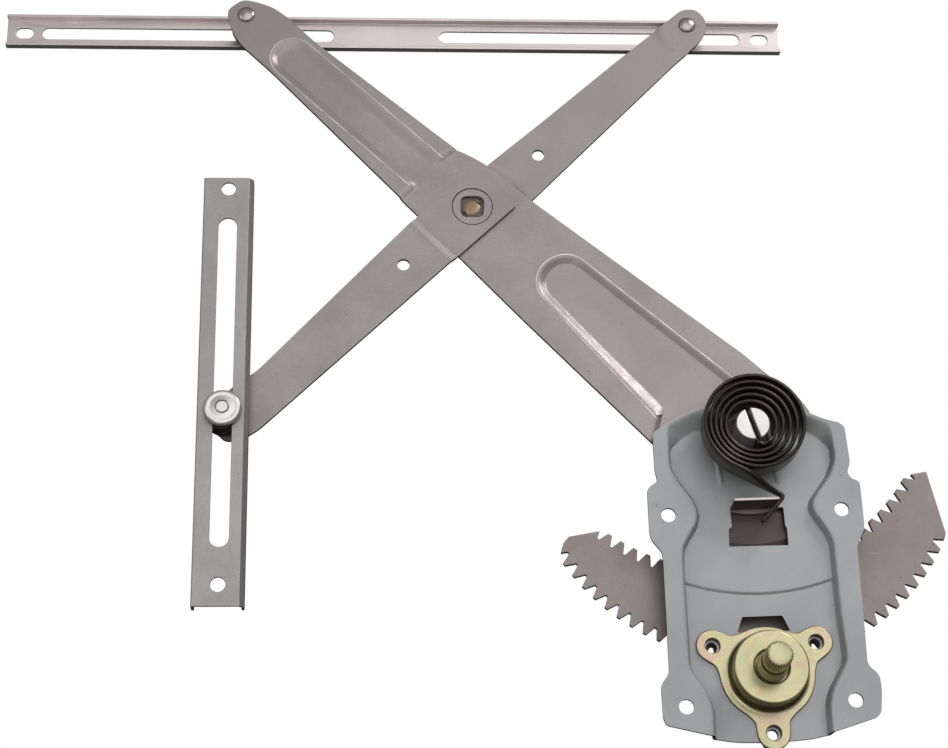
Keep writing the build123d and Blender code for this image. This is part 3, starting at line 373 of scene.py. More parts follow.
# The lift rail's rolled channel: lighter and cleaner than the arms, with a satin shine.
RAIL_STEEL = Metal("satin rail steel", "d0c5c5", "b3a9a9", 0.75, 0.34, mottle_share=0.35, speck_share=0.3,
                   scratch_share=0.15)
# The guide rail's rolled channel: a little cooler than the arms and as dull.
GUIDE_STEEL = Metal("dull rail steel", "949090", "7d7979", 0.6, 0.38, mottle_share=0.35, scratch_share=0.3)
# Phosphated sheet of the plate: a neutral grey, mostly matt, with dark specks from handling.
PLATE_COAT = Metal("grey phosphate coat", "969798", "878889", 0.25, 0.46, mottle_mm=45.0, grain_share=0.25,
                   speck="4a4543", speck_share=0.8, bump_mm=0.004)
# A freshly sheared edge, bare steel where the coat ends, painted bright as a highlight along the tab's top.
SHEARED_EDGE_AND_HIGHLIGHT = Metal("sheared steel edge and painted highlight", "c9c0c1", "b3aaab", 0.5, 0.4, speck_share=0.0, scratch_share=0.0)
# The stampings' older cut edges, where the bare steel has turned brown and dull; the same dark brown is
# painted on the spring's tab as shade.
CUT_EDGE_AND_SHADE = Metal("dull cut edge and painted shade", "5a504b", "463d39", 0.5, 0.5, mottle_mm=8.0, speck_share=0.0,
                 scratch_share=0.0)
# Blued spring steel with its oil: nearly black, with a lighter brown painted on its convex edges as a
# highlight.
SPRING_STEEL = Metal("oiled spring steel", "3c342e", "26211d", 0.7, 0.3, mottle_mm=14.0, grain_share=0.1,
                     speck_share=0.0, scratch_share=0.0, rough_spread=0.04, bump_mm=0.0, edge_highlight="85776a",
                     edge_highlight_share=0.6)
# Clear passivated zinc on turned pieces: light, smooth and almost even.
BRIGHT_ZINC = Metal("bright zinc plate", "c6c3c0", "b5b3b1", 0.7, 0.32, mottle_mm=14.0, grain_share=0.1,
                    speck_share=0.0, scratch_share=0.15, rough_spread=0.04, bump_mm=0.0)
# The rivets' heads: bare steel, polished by the tool that set them.
SET_HEAD = Metal("set rivet head", "a19a99", "8b8483", 0.8, 0.28, mottle_mm=6.0, grain_share=0.2,
                 speck_share=0.3, scratch_share=0.2, bump_mm=0.004)
# Yellow passivated zinc: pale straw with a slight film of pink and green.
YELLOW_ZINC = Metal("yellow passivated zinc", "aea886", "989271", 0.8, 0.3, mottle_mm=20.0, grain_share=0.12,
                    speck="5c4a2c", speck_share=0.5, scratch_share=0.12, rough_spread=0.05, bump_mm=0.001,
                    film=("aa8f80", "b3a77e", "9aa684", "ac9876", "b8ae86"), film_share=0.7)
# The same zinc, darker, greener and browner, painted as shade on steep drawn walls, in the mouth and in
# grooves, where it also stands for a dark reflection.
ZINC_WITH_PAINTED_SHADE = Metal("yellow zinc with painted shade", "5f5c3c", "4a4330", 0.85, 0.3, mottle_mm=14.0, grain_share=0.1,
                    speck_share=0.0, scratch_share=0.0, bump_mm=0.001,
                    film=("6a5236", "6a683f", "55603c", "6e5f3a"), film_share=0.6)
# Sintered bronze of the cross joint: tan, oily and dull.
BRONZE = Metal("oiled sintered bronze", "978466", "6a5843", 0.5, 0.42, mottle_mm=3.0, mottle_share=0.8,
               speck_share=0.0, scratch_share=0.0)
# Nylon as moulded: black, with the dull shine of a fine mould texture.
BLACK_NYLON = Nylon()
FINISHES = (ARM_STEEL, PAINTED_HIGHLIGHT_STEEL, BEAD_WALL_HIGHLIGHT_STEEL, SECTOR_STEEL, RAIL_STEEL, GUIDE_STEEL, PLATE_COAT,
            SHEARED_EDGE_AND_HIGHLIGHT, CUT_EDGE_AND_SHADE, SPRING_STEEL, BRIGHT_ZINC, SET_HEAD, YELLOW_ZINC, ZINC_WITH_PAINTED_SHADE, BRONZE,
            BLACK_NYLON)


def signed_distance(points: np.ndarray, outline: Sequence[Point]) -> np.ndarray:
    """Distance of points to a closed outline, negative inside.

    Args:
        points: an array of x and y.
        outline: corners of the outline in order.

    Returns:
        One distance for each point.
    """
    corners = np.asarray(outline, dtype=float)
    best = np.full(len(points), 1e9)
    inside = np.zeros(len(points), dtype=bool)
    for first, second in zip(corners, np.roll(corners, -1, axis=0)):
        edge = second - first
        offset = points - first
        share = np.clip((offset @ edge) / max(edge @ edge, 1e-12), 0.0, 1.0)
        best = np.minimum(best, np.hypot(*(offset - share[:, None] * edge).T))
        crosses = (first[1] > points[:, 1]) != (second[1] > points[:, 1])
        rise = edge[1] if abs(edge[1]) > 1e-12 else 1e-12
        inside ^= crosses & (points[:, 0] < first[0] + edge[0] * (points[:, 1] - first[1]) / rise)
    return np.where(inside, -best, best)


# Share of a pressed wall that each of its two rounds takes, where the wall has no share of its own.
WALL_EASE = 0.32


def soft(share: np.ndarray, ease: float = 0.5) -> np.ndarray:
    """Eases a share from 0 to 1 at both ends, as a press radius does.

    Args:
        share: values that are cut off below 0 and above 1.
        ease: share of the way that each round takes; the rest is straight.

    Returns:
        The eased values.
    """
    held = np.clip(share, 0.0, 1.0)
    peak = 1.0 / (1.0 - ease)
    near = 0.5 * peak * np.minimum(held, ease) ** 2 / ease
    middle = peak * np.clip(held - ease, 0.0, 1.0 - 2.0 * ease)
    far = np.clip(held - (1.0 - ease), 0.0, ease)
    return near + middle + peak * (far - 0.5 * far ** 2 / ease)


def between(points: np.ndarray, edge: Sequence[Point], floor: Sequence[Point],
            ease: float = WALL_EASE) -> np.ndarray:
    """How far down a pressed wall each point lies.

    Args:
        points: an array of x and y.
        edge: outline where the wall starts.
        floor: outline where the wall ends, inside the first.
        ease: share of the wall that each of its rounds takes.

    Returns:
        0 outside the edge, 1 inside the floor, eased between them.
    """
    inward = np.maximum(-signed_distance(points, edge), 0.0)
    outward = np.maximum(signed_distance(points, floor), 0.0)
    return soft(inward / np.maximum(inward + outward, 1e-9), ease)


def circle(centre: Point, radius: float, count: int = 40) -> list[Point]:
    """Corners of a circle."""
    return [(centre[0] + radius * math.cos(math.tau * index / count),
             centre[1] + radius * math.sin(math.tau * index / count)) for index in range(count)]


def rounded(outline: Sequence[Point], radius: float, count: int = 5, closed: bool = True) -> list[Point]:
    """Rounds each corner of an outline.

    Args:
        outline: corners in order.
        radius: length cut from each edge, less where edges are short.
        count: points on each rounded corner.
        closed: whether the last corner joins the first.

    Returns:
        The new outline.
    """
    result: list[Point] = []
    total = len(outline)
    for index, corner in enumerate(outline):
        if not closed and index in (0, total - 1):
            result.append(tuple(corner))
            continue
        here = Vector(corner)
        before = Vector(outline[index - 1]) - here
        after = Vector(outline[(index + 1) % total]) - here
        cut = min(radius, before.length * 0.45, after.length * 0.45)
        start = here + before.normalized() * cut
        end = here + after.normalized() * cut
        for step in range(count + 1):
            share = step / count
            spot = start * (1 - share) ** 2 + here * 2 * share * (1 - share) + end * share ** 2
            result.append((spot.x, spot.y))
    return result


def wall_loops(edge: Sequence[Point], floor: Sequence[Point], ease: float = WALL_EASE) -> list[list[Point]]:
    """Outlines down a pressed wall, close together in its rounds.

    Args:
        edge: outline where the wall starts.
        floor: outline where the wall ends, with corners that match the first.
        ease: share of the wall that each of its rounds takes.

    Returns:
        The outlines in order, from the edge to the floor.
    """
    shares = (0.0, ease / 3, ease * 2 / 3, ease, 1 - ease, 1 - ease * 2 / 3, 1 - ease / 3, 1.0)
    return [[(a[0] + (b[0] - a[0]) * share, a[1] + (b[1] - a[1]) * share) for a, b in zip(edge, floor)]
            for share in shares]


def inset(outline: Sequence[Point], distance: float) -> list[Point]:
    """Moves an outline's corners inward.

    Args:
        outline: corners in clockwise order.
        distance: how far each edge moves.

    Returns:
        The new corners.
    """
    corners = np.asarray(outline, dtype=float)
    before = corners - np.roll(corners, 1, axis=0)
    after = np.roll(corners, -1, axis=0) - corners
    before /= np.linalg.norm(before, axis=1)[:, None]
    after /= np.linalg.norm(after, axis=1)[:, None]
    way = np.column_stack([before[:, 1] + after[:, 1], -before[:, 0] - after[:, 0]])
    way /= np.maximum(1.0 + (before * after).sum(axis=1), 0.3)[:, None]
    return [(float(x), float(y)) for x, y in corners + way * distance]


def capsule(start: Point, end: Point, radius: float) -> list[Point]:
    """Outline round a straight line, with half-round ends.

    Args:
        start: one end of the line.
        end: the other end.
        radius: distance from the line to the outline.

    Returns:
        Corners of the outline in order.
    """
    angle = math.degrees(math.atan2(end[1] - start[1], end[0] - start[0]))
    parts = 8
    turns = [180.0 * index / parts - 90.0 for index in range(parts + 1)]
    return ([polar(radius, angle + turn, end) for turn in turns]
            + [polar(radius, angle + 180.0 + turn, start) for turn in turns])


def along(origin: Point, angle: float, forward: float, left: float) -> Point:
    """A point given along and across a line.

    Args:
        origin: where the line starts.
        angle: the line's direction in degrees.
        forward: distance along the line.
        left: distance to the left of it.

    Returns:
        The point in the plan.
    """
    turn = math.radians(angle)
    return (origin[0] + forward * math.cos(turn) - left * math.sin(turn),
            origin[1] + forward * math.sin(turn) + left * math.cos(turn))


def polar(radius: float, angle: float, centre: Point = (0.0, 0.0)) -> Point:
    """A point at a radius and an angle in degrees from a centre."""
    return along(centre, angle, radius, 0.0)


def local(points: np.ndarray, origin: Point, angle: float) -> np.ndarray:
    """Points of the plan as distances along and across a line.

    Args:
        points: an array of x and y.
        origin: where the line starts.
        angle: the line's direction in degrees.

    Returns:
        An array of the distances along the line and to the left of it.
    """
    turn = math.radians(angle)
    offset = points - np.asarray(origin)
    return np.column_stack([offset[:, 0] * math.cos(turn) + offset[:, 1] * math.sin(turn),
                            offset[:, 1] * math.cos(turn) - offset[:, 0] * math.sin(turn)])


def placed(outline: Sequence[Point], origin: Point, angle: float = 0.0) -> list[Point]:
    """An outline given along and across a line, moved to where that line lies."""
    return [along(origin, angle, forward, left) for forward, left in outline]


def new_object(name: str, verts: Sequence, faces: Sequence, smooth_deg: float = 35.0) -> bpy.types.Object:
    """Makes a mesh object from points in millimetres.

    Args:
        name: the piece's name.
        verts: points in millimetres.
        faces: vertex numbers of each face.
        smooth_deg: edges sharper than this stay sharp.

    Returns:
        The new object.
    """
    mesh = bpy.data.meshes.new(name)
    mesh.from_pydata([tuple(float(part) * MM for part in vert) for vert in verts], [],
                     [tuple(face) for face in faces])
    mesh.validate()
    mesh.update()
    mesh.shade_smooth()
    mesh.set_sharp_from_angle(angle=math.radians(smooth_deg))
    piece = bpy.data.objects.new(name, mesh)
    bpy.context.scene.collection.objects.link(piece)
    return piece


def round_edges(piece: bpy.types.Object, width: float, angle: float = 55.0, material: int = -1) -> None:
    """Gives a piece's sharp edges a small round.

    Args:
        piece: the object.
        width: width of the round in millimetres.
        angle: edges sharper than this many degrees are rounded.
        material: the slot of the round's finish, or -1 for that of the faces beside it.
    """
    bevel = piece.modifiers.new("edge", "BEVEL")
    bevel.width = width * MM
    bevel.segments = 2
    bevel.limit_method = "ANGLE"
    bevel.angle_limit = math.radians(angle)
    bevel.material = material


def reface(piece: bpy.types.Object, metal: Metal, chosen: Callable[[np.ndarray], np.ndarray]) -> None:
    """Gives the faces of a finished piece whose middle is chosen, in millimetres, another finish.

    Args:
        piece: the finished object.
        metal: the other finish, already built.
        chosen: tells which rows of middles belong to faces that change.
    """
    piece.data.materials.append(bpy.data.materials[metal.name])
    middles = np.array([tuple(face.center) for face in piece.data.polygons]) / MM
    for number in np.flatnonzero(chosen(middles)):
        piece.data.polygons[int(number)].material_index = len(piece.data.materials) - 1


def finish(piece: bpy.types.Object, body: Body, slot: Slot, metal: Metal | None, *nodes: str) -> None:
    """Gives a piece its body and material, and lets it stand for CAD nodes.

    Args:
        piece: the finished object.
        body: the body it rides on.
        slot: the record's slot; not used.
        metal: the finish, already built, or None where the piece has its finishes.
        nodes: CAD nodes that it replaces.
    """
    if metal is not None:
        piece.data.materials.append(bpy.data.materials[metal.name])
    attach(piece, body.value)
    if nodes:
        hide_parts(*nodes)
    LOG.info("%s: %d faces on %s", piece.name, len(piece.data.polygons), body.value)


# Height of a row of even triangles, as a share of their side.
ROW_SHARE = 0.866


@dataclass
class Pressing:
    """A piece of pressed sheet: a flat blank with holes, lifted by a height function.

    Its creases are outlines that the mesh follows. A highlight line is an outline with the lowest height
    above which lighter steel is painted along it as a highlight, and where there is a list of them, even an
    empty one, the edges' rounds get that painted highlight too.
    """

    name: str
    blank: list[Point]
    holes: list[list[Point]]
    height: Callable[[np.ndarray], np.ndarray]
    sheet: float
    metal: Metal
    creases: list[list[Point]] = field(default_factory=list)
    step: float = 2.0
    edge_round: float = 0.25
    highlight_lines: list[tuple[list[Point], float]] | None = None
    highlight_half: float = 0.2

    def build(self) -> bpy.types.Object:
        """Meshes the blank, lifts it and gives it its thickness.

        Returns:
            The closed sheet as an object.
        """
        flat, triangles = self.mesh_flat()
        lifted = self.height(flat)
        nudge = 0.05
        slope_x = (self.height(flat + (nudge, 0)) - self.height(flat - (nudge, 0))) / (2 * nudge)
        slope_y = (self.height(flat + (0, nudge)) - self.height(flat - (0, nudge))) / (2 * nudge)
        normal = np.stack([-slope_x, -slope_y, np.ones(len(flat))], axis=1)
        normal /= np.linalg.norm(normal, axis=1)[:, None]
        middle = np.column_stack([flat, lifted])
        count = len(flat)
        faces = [tuple(face) for face in triangles]
        faces += [(a + count, c + count, b + count) for a, b, c in triangles]
        edges = {edge for a, b, c in triangles for edge in ((a, b), (b, c), (c, a))}
        faces += [(b, a, a + count, b + count) for a, b in edges if (b, a) not in edges]
        verts = np.vstack([middle + normal * self.sheet / 2, middle - normal * self.sheet / 2])
        piece = new_object(self.name, verts, faces)
        self.dress(piece, flat[triangles].mean(axis=1))
        return piece

    def dress(self, piece: bpy.types.Object, middles: np.ndarray) -> None:
        """Gives the sheet its metal, the dull cut edges and the lines of painted highlight.

        Args:
            piece: the closed sheet, whose first faces are those of its top.
            middles: x and y of the middle of each top face.
        """
        for metal in (self.metal, CUT_EDGE_AND_SHADE, PAINTED_HIGHLIGHT_STEEL):
            piece.data.materials.append(bpy.data.materials[metal.name])
        cut, light = 1, 2
        # Painted highlight: faces along each line, above its lowest height, get the lighter steel.
        highlight_lines = np.zeros(len(middles), dtype=bool)
        for line, lowest in self.highlight_lines or []:
            beside = abs(signed_distance(middles, line)) < self.highlight_half
            highlight_lines |= beside & (self.height(middles) > lowest)
        for number, face in enumerate(piece.data.polygons):
            if len(face.vertices) == 4:
                face.material_index = cut
            elif number < len(highlight_lines) and highlight_lines[number]:
                face.material_index = light
        # Where there is a list of lines, the edge rounds get the painted highlight too.
        round_edges(piece, self.edge_round, material=-1 if self.highlight_lines is None else light)

    def divide(self, loop: Sequence[Point]) -> np.ndarray:
        """Adds points along a closed loop, about a step apart.

        Args:
            loop: corners of the loop in order.

        Returns:
            The loop's points.
        """
        result: list[Point] = []
        for first, second in zip(loop, list(loop[1:]) + [loop[0]]):
            across, up = second[0] - first[0], second[1] - first[1]
            parts = max(1, round(math.hypot(across, up) / self.step))
            for index in range(parts):
                share = index / parts
                result.append((first[0] + across * share, first[1] + up * share))
        return np.asarray(result)

    def mesh_flat(self) -> tuple[np.ndarray, np.ndarray]:
        """Fills the blank with even triangles that follow its creases.

        Returns:
            Points, and triangles that turn anticlockwise.
        """
        loops = [self.divide(loop) for loop in [self.blank] + self.holes]
        sides = [inset(line, reach) for line, _ in self.highlight_lines or []
                 for reach in (-self.highlight_half, self.highlight_half)]
        folds = [self.divide(loop) for loop in self.creases + sides]
        points = [tuple(point) for point in self.grid(loops, folds)]
        edges = []
        for loop in loops + folds:
            start = len(points)
            points += [tuple(point) for point in loop]
            edges += [(start + index, start + (index + 1) % len(loop)) for index in range(len(loop))]
        merge_mm = 1e-4
        verts, _, faces, *_ = delaunay_2d_cdt([Vector(point) for point in points], edges, [], 0, merge_mm)
        flat = np.array([tuple(vert) for vert in verts])
        triangles = np.array([face for face in faces if len(face) == 3])
        middle = flat[triangles].mean(axis=1)
        keep = signed_distance(middle, loops[0]) < 0
        for hole in loops[1:]:
            keep &= signed_distance(middle, hole) > 0
        triangles = triangles[keep]
        a, b, c = (flat[triangles[:, index]] for index in range(3))
        turn = (b[:, 0] - a[:, 0]) * (c[:, 1] - a[:, 1]) - (b[:, 1] - a[:, 1]) * (c[:, 0] - a[:, 0])
        triangles[turn < 0] = triangles[turn < 0][:, ::-1]
        used = np.unique(triangles)
        renumber = np.full(len(flat), -1)
        renumber[used] = np.arange(len(used))
        return flat[used], renumber[triangles]

    def grid(self, loops: list[np.ndarray], folds: list[np.ndarray]) -> np.ndarray:
        """Points of an even grid of triangles, clear of every outline.

        Args:
            loops: the blank's outline and those of its holes.
            folds: the other lines that the mesh follows.

        Returns:
            An array of x and y.
        """
        low, high = loops[0].min(axis=0), loops[0].max(axis=0)
        rows = []
        for number, y in enumerate(np.arange(low[1], high[1], self.step * ROW_SHARE)):
            xs = np.arange(low[0] + (number % 2) * self.step / 2, high[0], self.step)
            rows.append(np.column_stack([xs, np.full(len(xs), y)]))
        spots = np.vstack(rows)
        edge_room, fold_room = 0.5 * self.step, 0.45 * self.step
        keep = signed_distance(spots, loops[0]) < -edge_room
        for hole in loops[1:]:
            keep &= signed_distance(spots, hole) > edge_room
        for fold in folds:
            keep &= abs(signed_distance(spots, fold)) > fold_room
        return spots[keep]


@dataclass
class Turned:
    """A turned piece: a half section of radii and heights swept round an upright axis.

    A ripple gives the radius at a radius, a height and an angle, for a piece that isn't round everywhere.
    """

    name: str
    centre: Point
    section: list[Point]
    count: int = 72
    ripple: Callable[[float, float, float], float] | None = None

    def build(self) -> bpy.types.Object:
        """Sweeps the section.

        Returns:
            The closed piece as an object.
        """
        verts: list[tuple[float, float, float]] = []
        rings: list[list[int]] = []
        for radius, height in self.section:
            if radius < 1e-6:
                rings.append([len(verts)] * self.count)
                verts.append((self.centre[0], self.centre[1], height))
                continue
            rings.append(list(range(len(verts), len(verts) + self.count)))
            for index in range(self.count):
                angle = math.tau * index / self.count
                reach = radius if self.ripple is None else self.ripple(radius, height, angle)
                x, y = polar(reach, math.degrees(angle), self.centre)
                verts.append((x, y, height))
        faces = []
        for low, high in zip(rings, rings[1:]):
            for index in range(self.count):
                after = (index + 1) % self.count
                face = [low[index], low[after], high[after], high[index]]
                face = [vert for place, vert in enumerate(face) if vert != face[place - 1]]
                if len(face) > 2:
                    faces.append(tuple(face))
        if self.section[0][0] > 1e-6 and self.section[0] != self.section[-1]:
            faces.append(tuple(reversed(rings[0])))
        if self.section[-1][0] > 1e-6 and self.section[0] != self.section[-1]:
            faces.append(tuple(rings[-1]))
        return new_object(self.name, verts, faces)


@dataclass
class Strip:
    """A flat strip on edge, swept along a path in the plan, with rounded long edges."""

    name: str
    path: list[Point]
    thickness: float
    low: float
    tops: list[float]
    corner: float = 0.8

    def build(self) -> bpy.types.Object:
        """Sweeps the strip.

        Returns:
            The closed strip as an object.
        """
        line = np.asarray(self.path)
        ahead = np.gradient(line, axis=0)
        ahead /= np.linalg.norm(ahead, axis=1)[:, None]
        side = np.column_stack([-ahead[:, 1], ahead[:, 0]])
        verts = []
        for spot, across, top in zip(line, side, self.tops):
            verts += [(spot[0] + across[0] * reach, spot[1] + across[1] * reach, height)
                      for reach, height in self.section(top)]
        size = len(verts) // len(line)
        faces = []
        for index in range(len(line) - 1):
            for corner in range(size):
                after = (corner + 1) % size
                a, b = index * size + corner, index * size + after
                faces.append((a, a + size, b + size, b))
        faces.append(tuple(range(size)))
        faces.append(tuple(reversed(range(len(verts) - size, len(verts)))))
        return new_object(self.name, verts, faces, smooth_deg=50.0)

    def section(self, top: float) -> list[Point]:
        """The strip's section: a rectangle with round upper corners and bevelled lower ones.

        Args:
            top: height of the strip's upper edge here.

        Returns:
            Distances from the strip's middle, each with a height.
        """
        half = self.thickness / 2
        flat, knee = half - self.corner, top - self.corner
        turns = (0.52, 1.05)
        right = [(flat + self.corner * math.cos(turn), knee + self.corner * math.sin(turn)) for turn in turns]
        left = [(-flat - self.corner * math.cos(turn), knee + self.corner * math.sin(turn))
                for turn in reversed(turns)]
        heel = self.low + self.corner
        return ([(half, heel), (half, knee)] + right + [(flat, top), (-flat, top)] + left
                + [(-half, knee), (-half, heel), (-flat, self.low), (flat, self.low)])


@dataclass
class Prism:
    """One or more flat outlines with an upright height, with rounded edges."""

    name: str
    outlines: list[list[Point]]
    low: float
    high: float
    edge_round: float = 0.3

    def build(self) -> bpy.types.Object:
        """Makes the prisms.

        Returns:
            All of them as one object.
        """
        verts: list[tuple[float, float, float]] = []
        faces: list[tuple[int, ...]] = []
        for outline in self.outlines:
            start, count = len(verts), len(outline)
            verts += [(x, y, self.low) for x, y in outline] + [(x, y, self.high) for x, y in outline]
            faces.append(tuple(reversed(range(start, start + count))))
            faces.append(tuple(range(start + count, start + 2 * count)))
            for index in range(count):
                after = (index + 1) % count
                faces.append((start + index, start + after, start + count + after, start + count + index))
        piece = new_object(self.name, verts, faces)
        round_edges(piece, self.edge_round)
        return piece


@dataclass(frozen=True)
class Linkage:
    """Places of the pivots in the plan, in millimetres from the crank's axis, with angles in degrees."""

    pivot: Point = (1.3, 114.743)
    arm_angle: float = 134.0
    balance_angle: float = 42.0
    pivot_to_cross: float = 180.0
    cross_to_lift_roller: float = 160.0
    cross_to_balance_roller: float = 160.0
    cross_to_guide: float = 167.0

    @property
    def cross(self) -> Point:
        """The joint where the arms cross."""
        return polar(self.pivot_to_cross, self.arm_angle, self.pivot)

    @property
    def lift_roller(self) -> Point:
        """The roller on the lift arm."""
        return polar(self.cross_to_lift_roller, self.arm_angle, self.cross)

    @property
    def balance_roller(self) -> Point:
        """The roller on the balance arm."""
        return polar(self.cross_to_balance_roller, self.balance_angle, self.cross)

    @property
    def guide(self) -> Point:
        """The button in the guide rail."""
        return polar(self.cross_to_guide, self.balance_angle + 180.0, self.cross)


# The crank housing's three ears: the circle that their holes lie on, and their directions in degrees.
EAR_CIRCLE_R = 28.0
EAR_ANGLES = (30.0, 150.0, 270.0)


@dataclass
class BasePlate:
    """The pressed plate: flange, recess with curved walls, shallow step, two ribs and the spring's tab."""

    linkage: Linkage
    sheet: float = 1.6
    flange_mid: float = -23.4
    recess_mid: float = -28.4
    wall_run: float = 1.7
    wall_ease: float = 0.2
    step_drop: float = 0.9
    step_centre: Point = (0.0, 26.4)
    step_r: float = 101.8
    step_run: float = 1.2
    rib_rise: float = 0.8
    rib_half: float = 1.7
    ribs: tuple[tuple[Point, Point], ...] = (((-14.4, -5.0), (-14.0, -20.6)), ((12.6, -12.0), (13.5, -21.0)))
    corner_r: float = 2.2
    wall_corner_r: float = 3.0
    window_corner_r: float = 0.6
    tab_root: float = 0.4
    tab_top: float = -15.4
    tab_sheet: float = 1.2
    tab_side: tuple[float, float] = (-10.5, 11.0)
    tab_face: float = -33.2
    sheared_highlight_band: float = 0.4
    sheared_highlight_proud: float = 0.15
    hole_r: float = 3.5
    pivot_hole_r: float = 10.0
    crank_hole_r: float = 11.6
    ear_circle_r: float = EAR_CIRCLE_R
    ear_hole_r: float = 3.4

    @staticmethod
    def edge() -> list[Point]:
        """The plate's outline.

        Returns:
            Its corners in clockwise order, from the pivot.
        """
        return [
            (-45.3, 3.6), (-38.2, 9.0), (-26.0, 15.0), (-15.0, 18.5), (0.0, 20.5), (15.0, 18.5),
            (30.4, 12.1), (39.7, 7.8), (45.1, 6.4), (47.8, 4.0), (48.3, -14.7), (46.3, -19.2),
            (47.7, -22.5), (51.8, -24.2), (51.3, -47.5), (46.6, -56.1), (45.8, -80.0), (44.5, -113.8),
            (49.4, -118.8), (49.6, -126.0), (48.0, -136.5), (46.0, -138.4), (27.0, -143.9), (16.0, -145.9),
            (-1.5, -146.9), (-19.0, -146.0), (-29.9, -144.0), (-50.8, -138.4), (-52.1, -135.2),
            (-51.8, -119.5), (-47.5, -114.1), (-45.7, -61.3), (-45.6, -56.3), (-50.3, -49.9), (-50.9, -46.1),
            (-50.2, -24.1), (-44.8, -20.9), (-45.8, -15.4),
        ]

    def recess(self, floor: bool) -> list[Point]:
        """Upper or lower line of the recess's wall: steep sides and a long slope at the top.

        Args:
            floor: whether it is the lower line, whose corners match those of the upper one.

        Returns:
            The line's points, from the pivot.
        """
        top = [(-38.6, 8.4), (-32.5, 11.2), (-25.8, 14.4), (-14.0, 17.8), (14.0, 17.8), (27.5, 12.5),
               (31.0, 11.1), (35.4, 9.2), (41.6, 6.4)]
        sides = [
            (42.2, -12.0), (38.6, -20.4), (31.6, -29.2), (28.6, -33.4), (28.9, -37.6), (34.4, -47.2),
            (36.6, -53.4), (36.4, -60.0), (35.9, -88.0), (36.5, -108.0), (35.4, -113.0), (28.2, -124.2),
            (26.0, -130.4), (25.2, -152.0), (-30.3, -152.0), (-29.6, -131.0), (-31.4, -124.6),
            (-37.6, -114.4), (-38.6, -110.4), (-37.2, -60.0), (-36.4, -53.2), (-28.9, -41.6), (-27.8, -37.0),
            (-29.2, -31.2), (-36.6, -19.4), (-39.0, -14.0),
        ]
        line = top + sides
        if floor:
            fold = [(-37.4, -3.4), (-31.6, 1.2), (-25.4, 4.8), (-13.0, 6.4), (13.0, 6.4), (27.0, 5.4),
                    (31.1, 2.8), (35.4, -0.6), (40.4, -4.4)]
            line = fold + inset(line, self.wall_run)[len(top):]
        return rounded(line, self.wall_corner_r, 4)

    def holes(self) -> list[list[Point]]:
        """The window, the opening over the housing and the round holes.

        Returns:
            Outlines of the holes, from the pivot.
        """
        window = [(-10.8, -34.0), (14.7, -34.2), (14.7, -43.4), (15.4, -44.4), (15.2, -53.2), (-13.0, -52.9),
                  (-12.4, -44.2), (-10.8, -43.2)]
        over = [(-10.2, -87.2), (8.7, -87.2), (11.6, -94.6), (-13.3, -94.6)]
        crank = (-self.linkage.pivot[0], -self.linkage.pivot[1])
        bolts = [(-41.2, -37.9), (41.5, -37.9), (-41.0, -130.2), (37.0, -130.2)]
        ears = [polar(self.ear_circle_r, angle, crank) for angle in EAR_ANGLES]
        cut = [rounded(outline, self.window_corner_r, 3) for outline in (window, over)]
        return (cut + [circle((0.0, 0.0), self.pivot_hole_r), circle(crank, self.crank_hole_r)]
                + [circle(spot, self.hole_r, 32) for spot in bolts]
                + [circle(spot, self.ear_hole_r, 32) for spot in ears])

    def height(self, points: np.ndarray) -> np.ndarray:
        """Height of the middle of the sheet.

        Args:
            points: an array of x and y.

        Returns:
            One height for each point.
        """
        here = points - np.asarray(self.linkage.pivot)
        down = between(here, self.recess(False), self.recess(True), self.wall_ease)
        reach = np.hypot(here[:, 0] - self.step_centre[0], here[:, 1] - self.step_centre[1])
        step = soft((reach - self.step_r) / self.step_run, 0.3) * down
        level = self.flange_mid - (self.flange_mid - self.recess_mid) * down - self.step_drop * step
        for start, end in self.ribs:
            line = np.asarray(end) - np.asarray(start)
            offset = here - np.asarray(start)
            share = np.clip(offset @ line / (line @ line), 0.0, 1.0)
            away = np.hypot(*(offset - share[:, None] * line).T)
            level = level + self.rib_rise * soft(1.0 - away / self.rib_half)
        return level

    def build(self) -> None:
        """Makes the plate and its tab and lets them stand for the solid."""
        pivot = self.linkage.pivot
        plate = Pressing("base_plate_pressing", placed(rounded(self.edge(), self.corner_r, 3), pivot),
                         [placed(hole, pivot) for hole in self.holes()], self.height, self.sheet, PLATE_COAT,
                         [placed(loop, pivot) for loop in self.creases()], step=1.5, edge_round=0.35).build()
        finish(plate, Body.PLATE, Slot.PLATE, None, "base_plate")
        self.tab()

    def creases(self) -> list[list[Point]]:
        """Lines down the recess's wall, along the step and round the ribs.

        Returns:
            Closed outlines, from the pivot; those along the step go there and come back beside it.
        """
        lines = wall_loops(self.recess(False), self.recess(True), self.wall_ease)
        start, sweep = -110.0, 40
        for share in (0.0, 0.3, 0.7, 1.0):
            reach = self.step_r + self.step_run * share
            there = [polar(reach, start + turn, self.step_centre) for turn in range(sweep + 1)]
            back = [polar(reach + 0.05, start + sweep - turn, self.step_centre) for turn in range(sweep + 1)]
            lines.append(there + back)
        lines += [capsule(start, end, self.rib_half * share) for start, end in self.ribs
                  for share in (0.15, 0.5, 0.85, 1.0)]
        return lines

    def tab(self) -> None:
        """The tab that is folded up from the window for the spring's hook."""
        left, right = self.tab_side
        x0, y0 = self.linkage.pivot
        face = y0 + self.tab_face
        back = face - self.tab_sheet
        outline = [(x0 + left, back), (x0 + right, back), (x0 + right, face), (x0 + left, face)]
        tab = Prism("spring_tab", [outline], self.recess_mid - self.tab_root,
                    self.tab_top - self.sheared_highlight_proud, edge_round=0.15).build()
        # The tab's body is painted in the dark cut-edge brown as shade on its face.
        finish(tab, Body.PLATE, Slot.PLATE, CUT_EDGE_AND_SHADE)
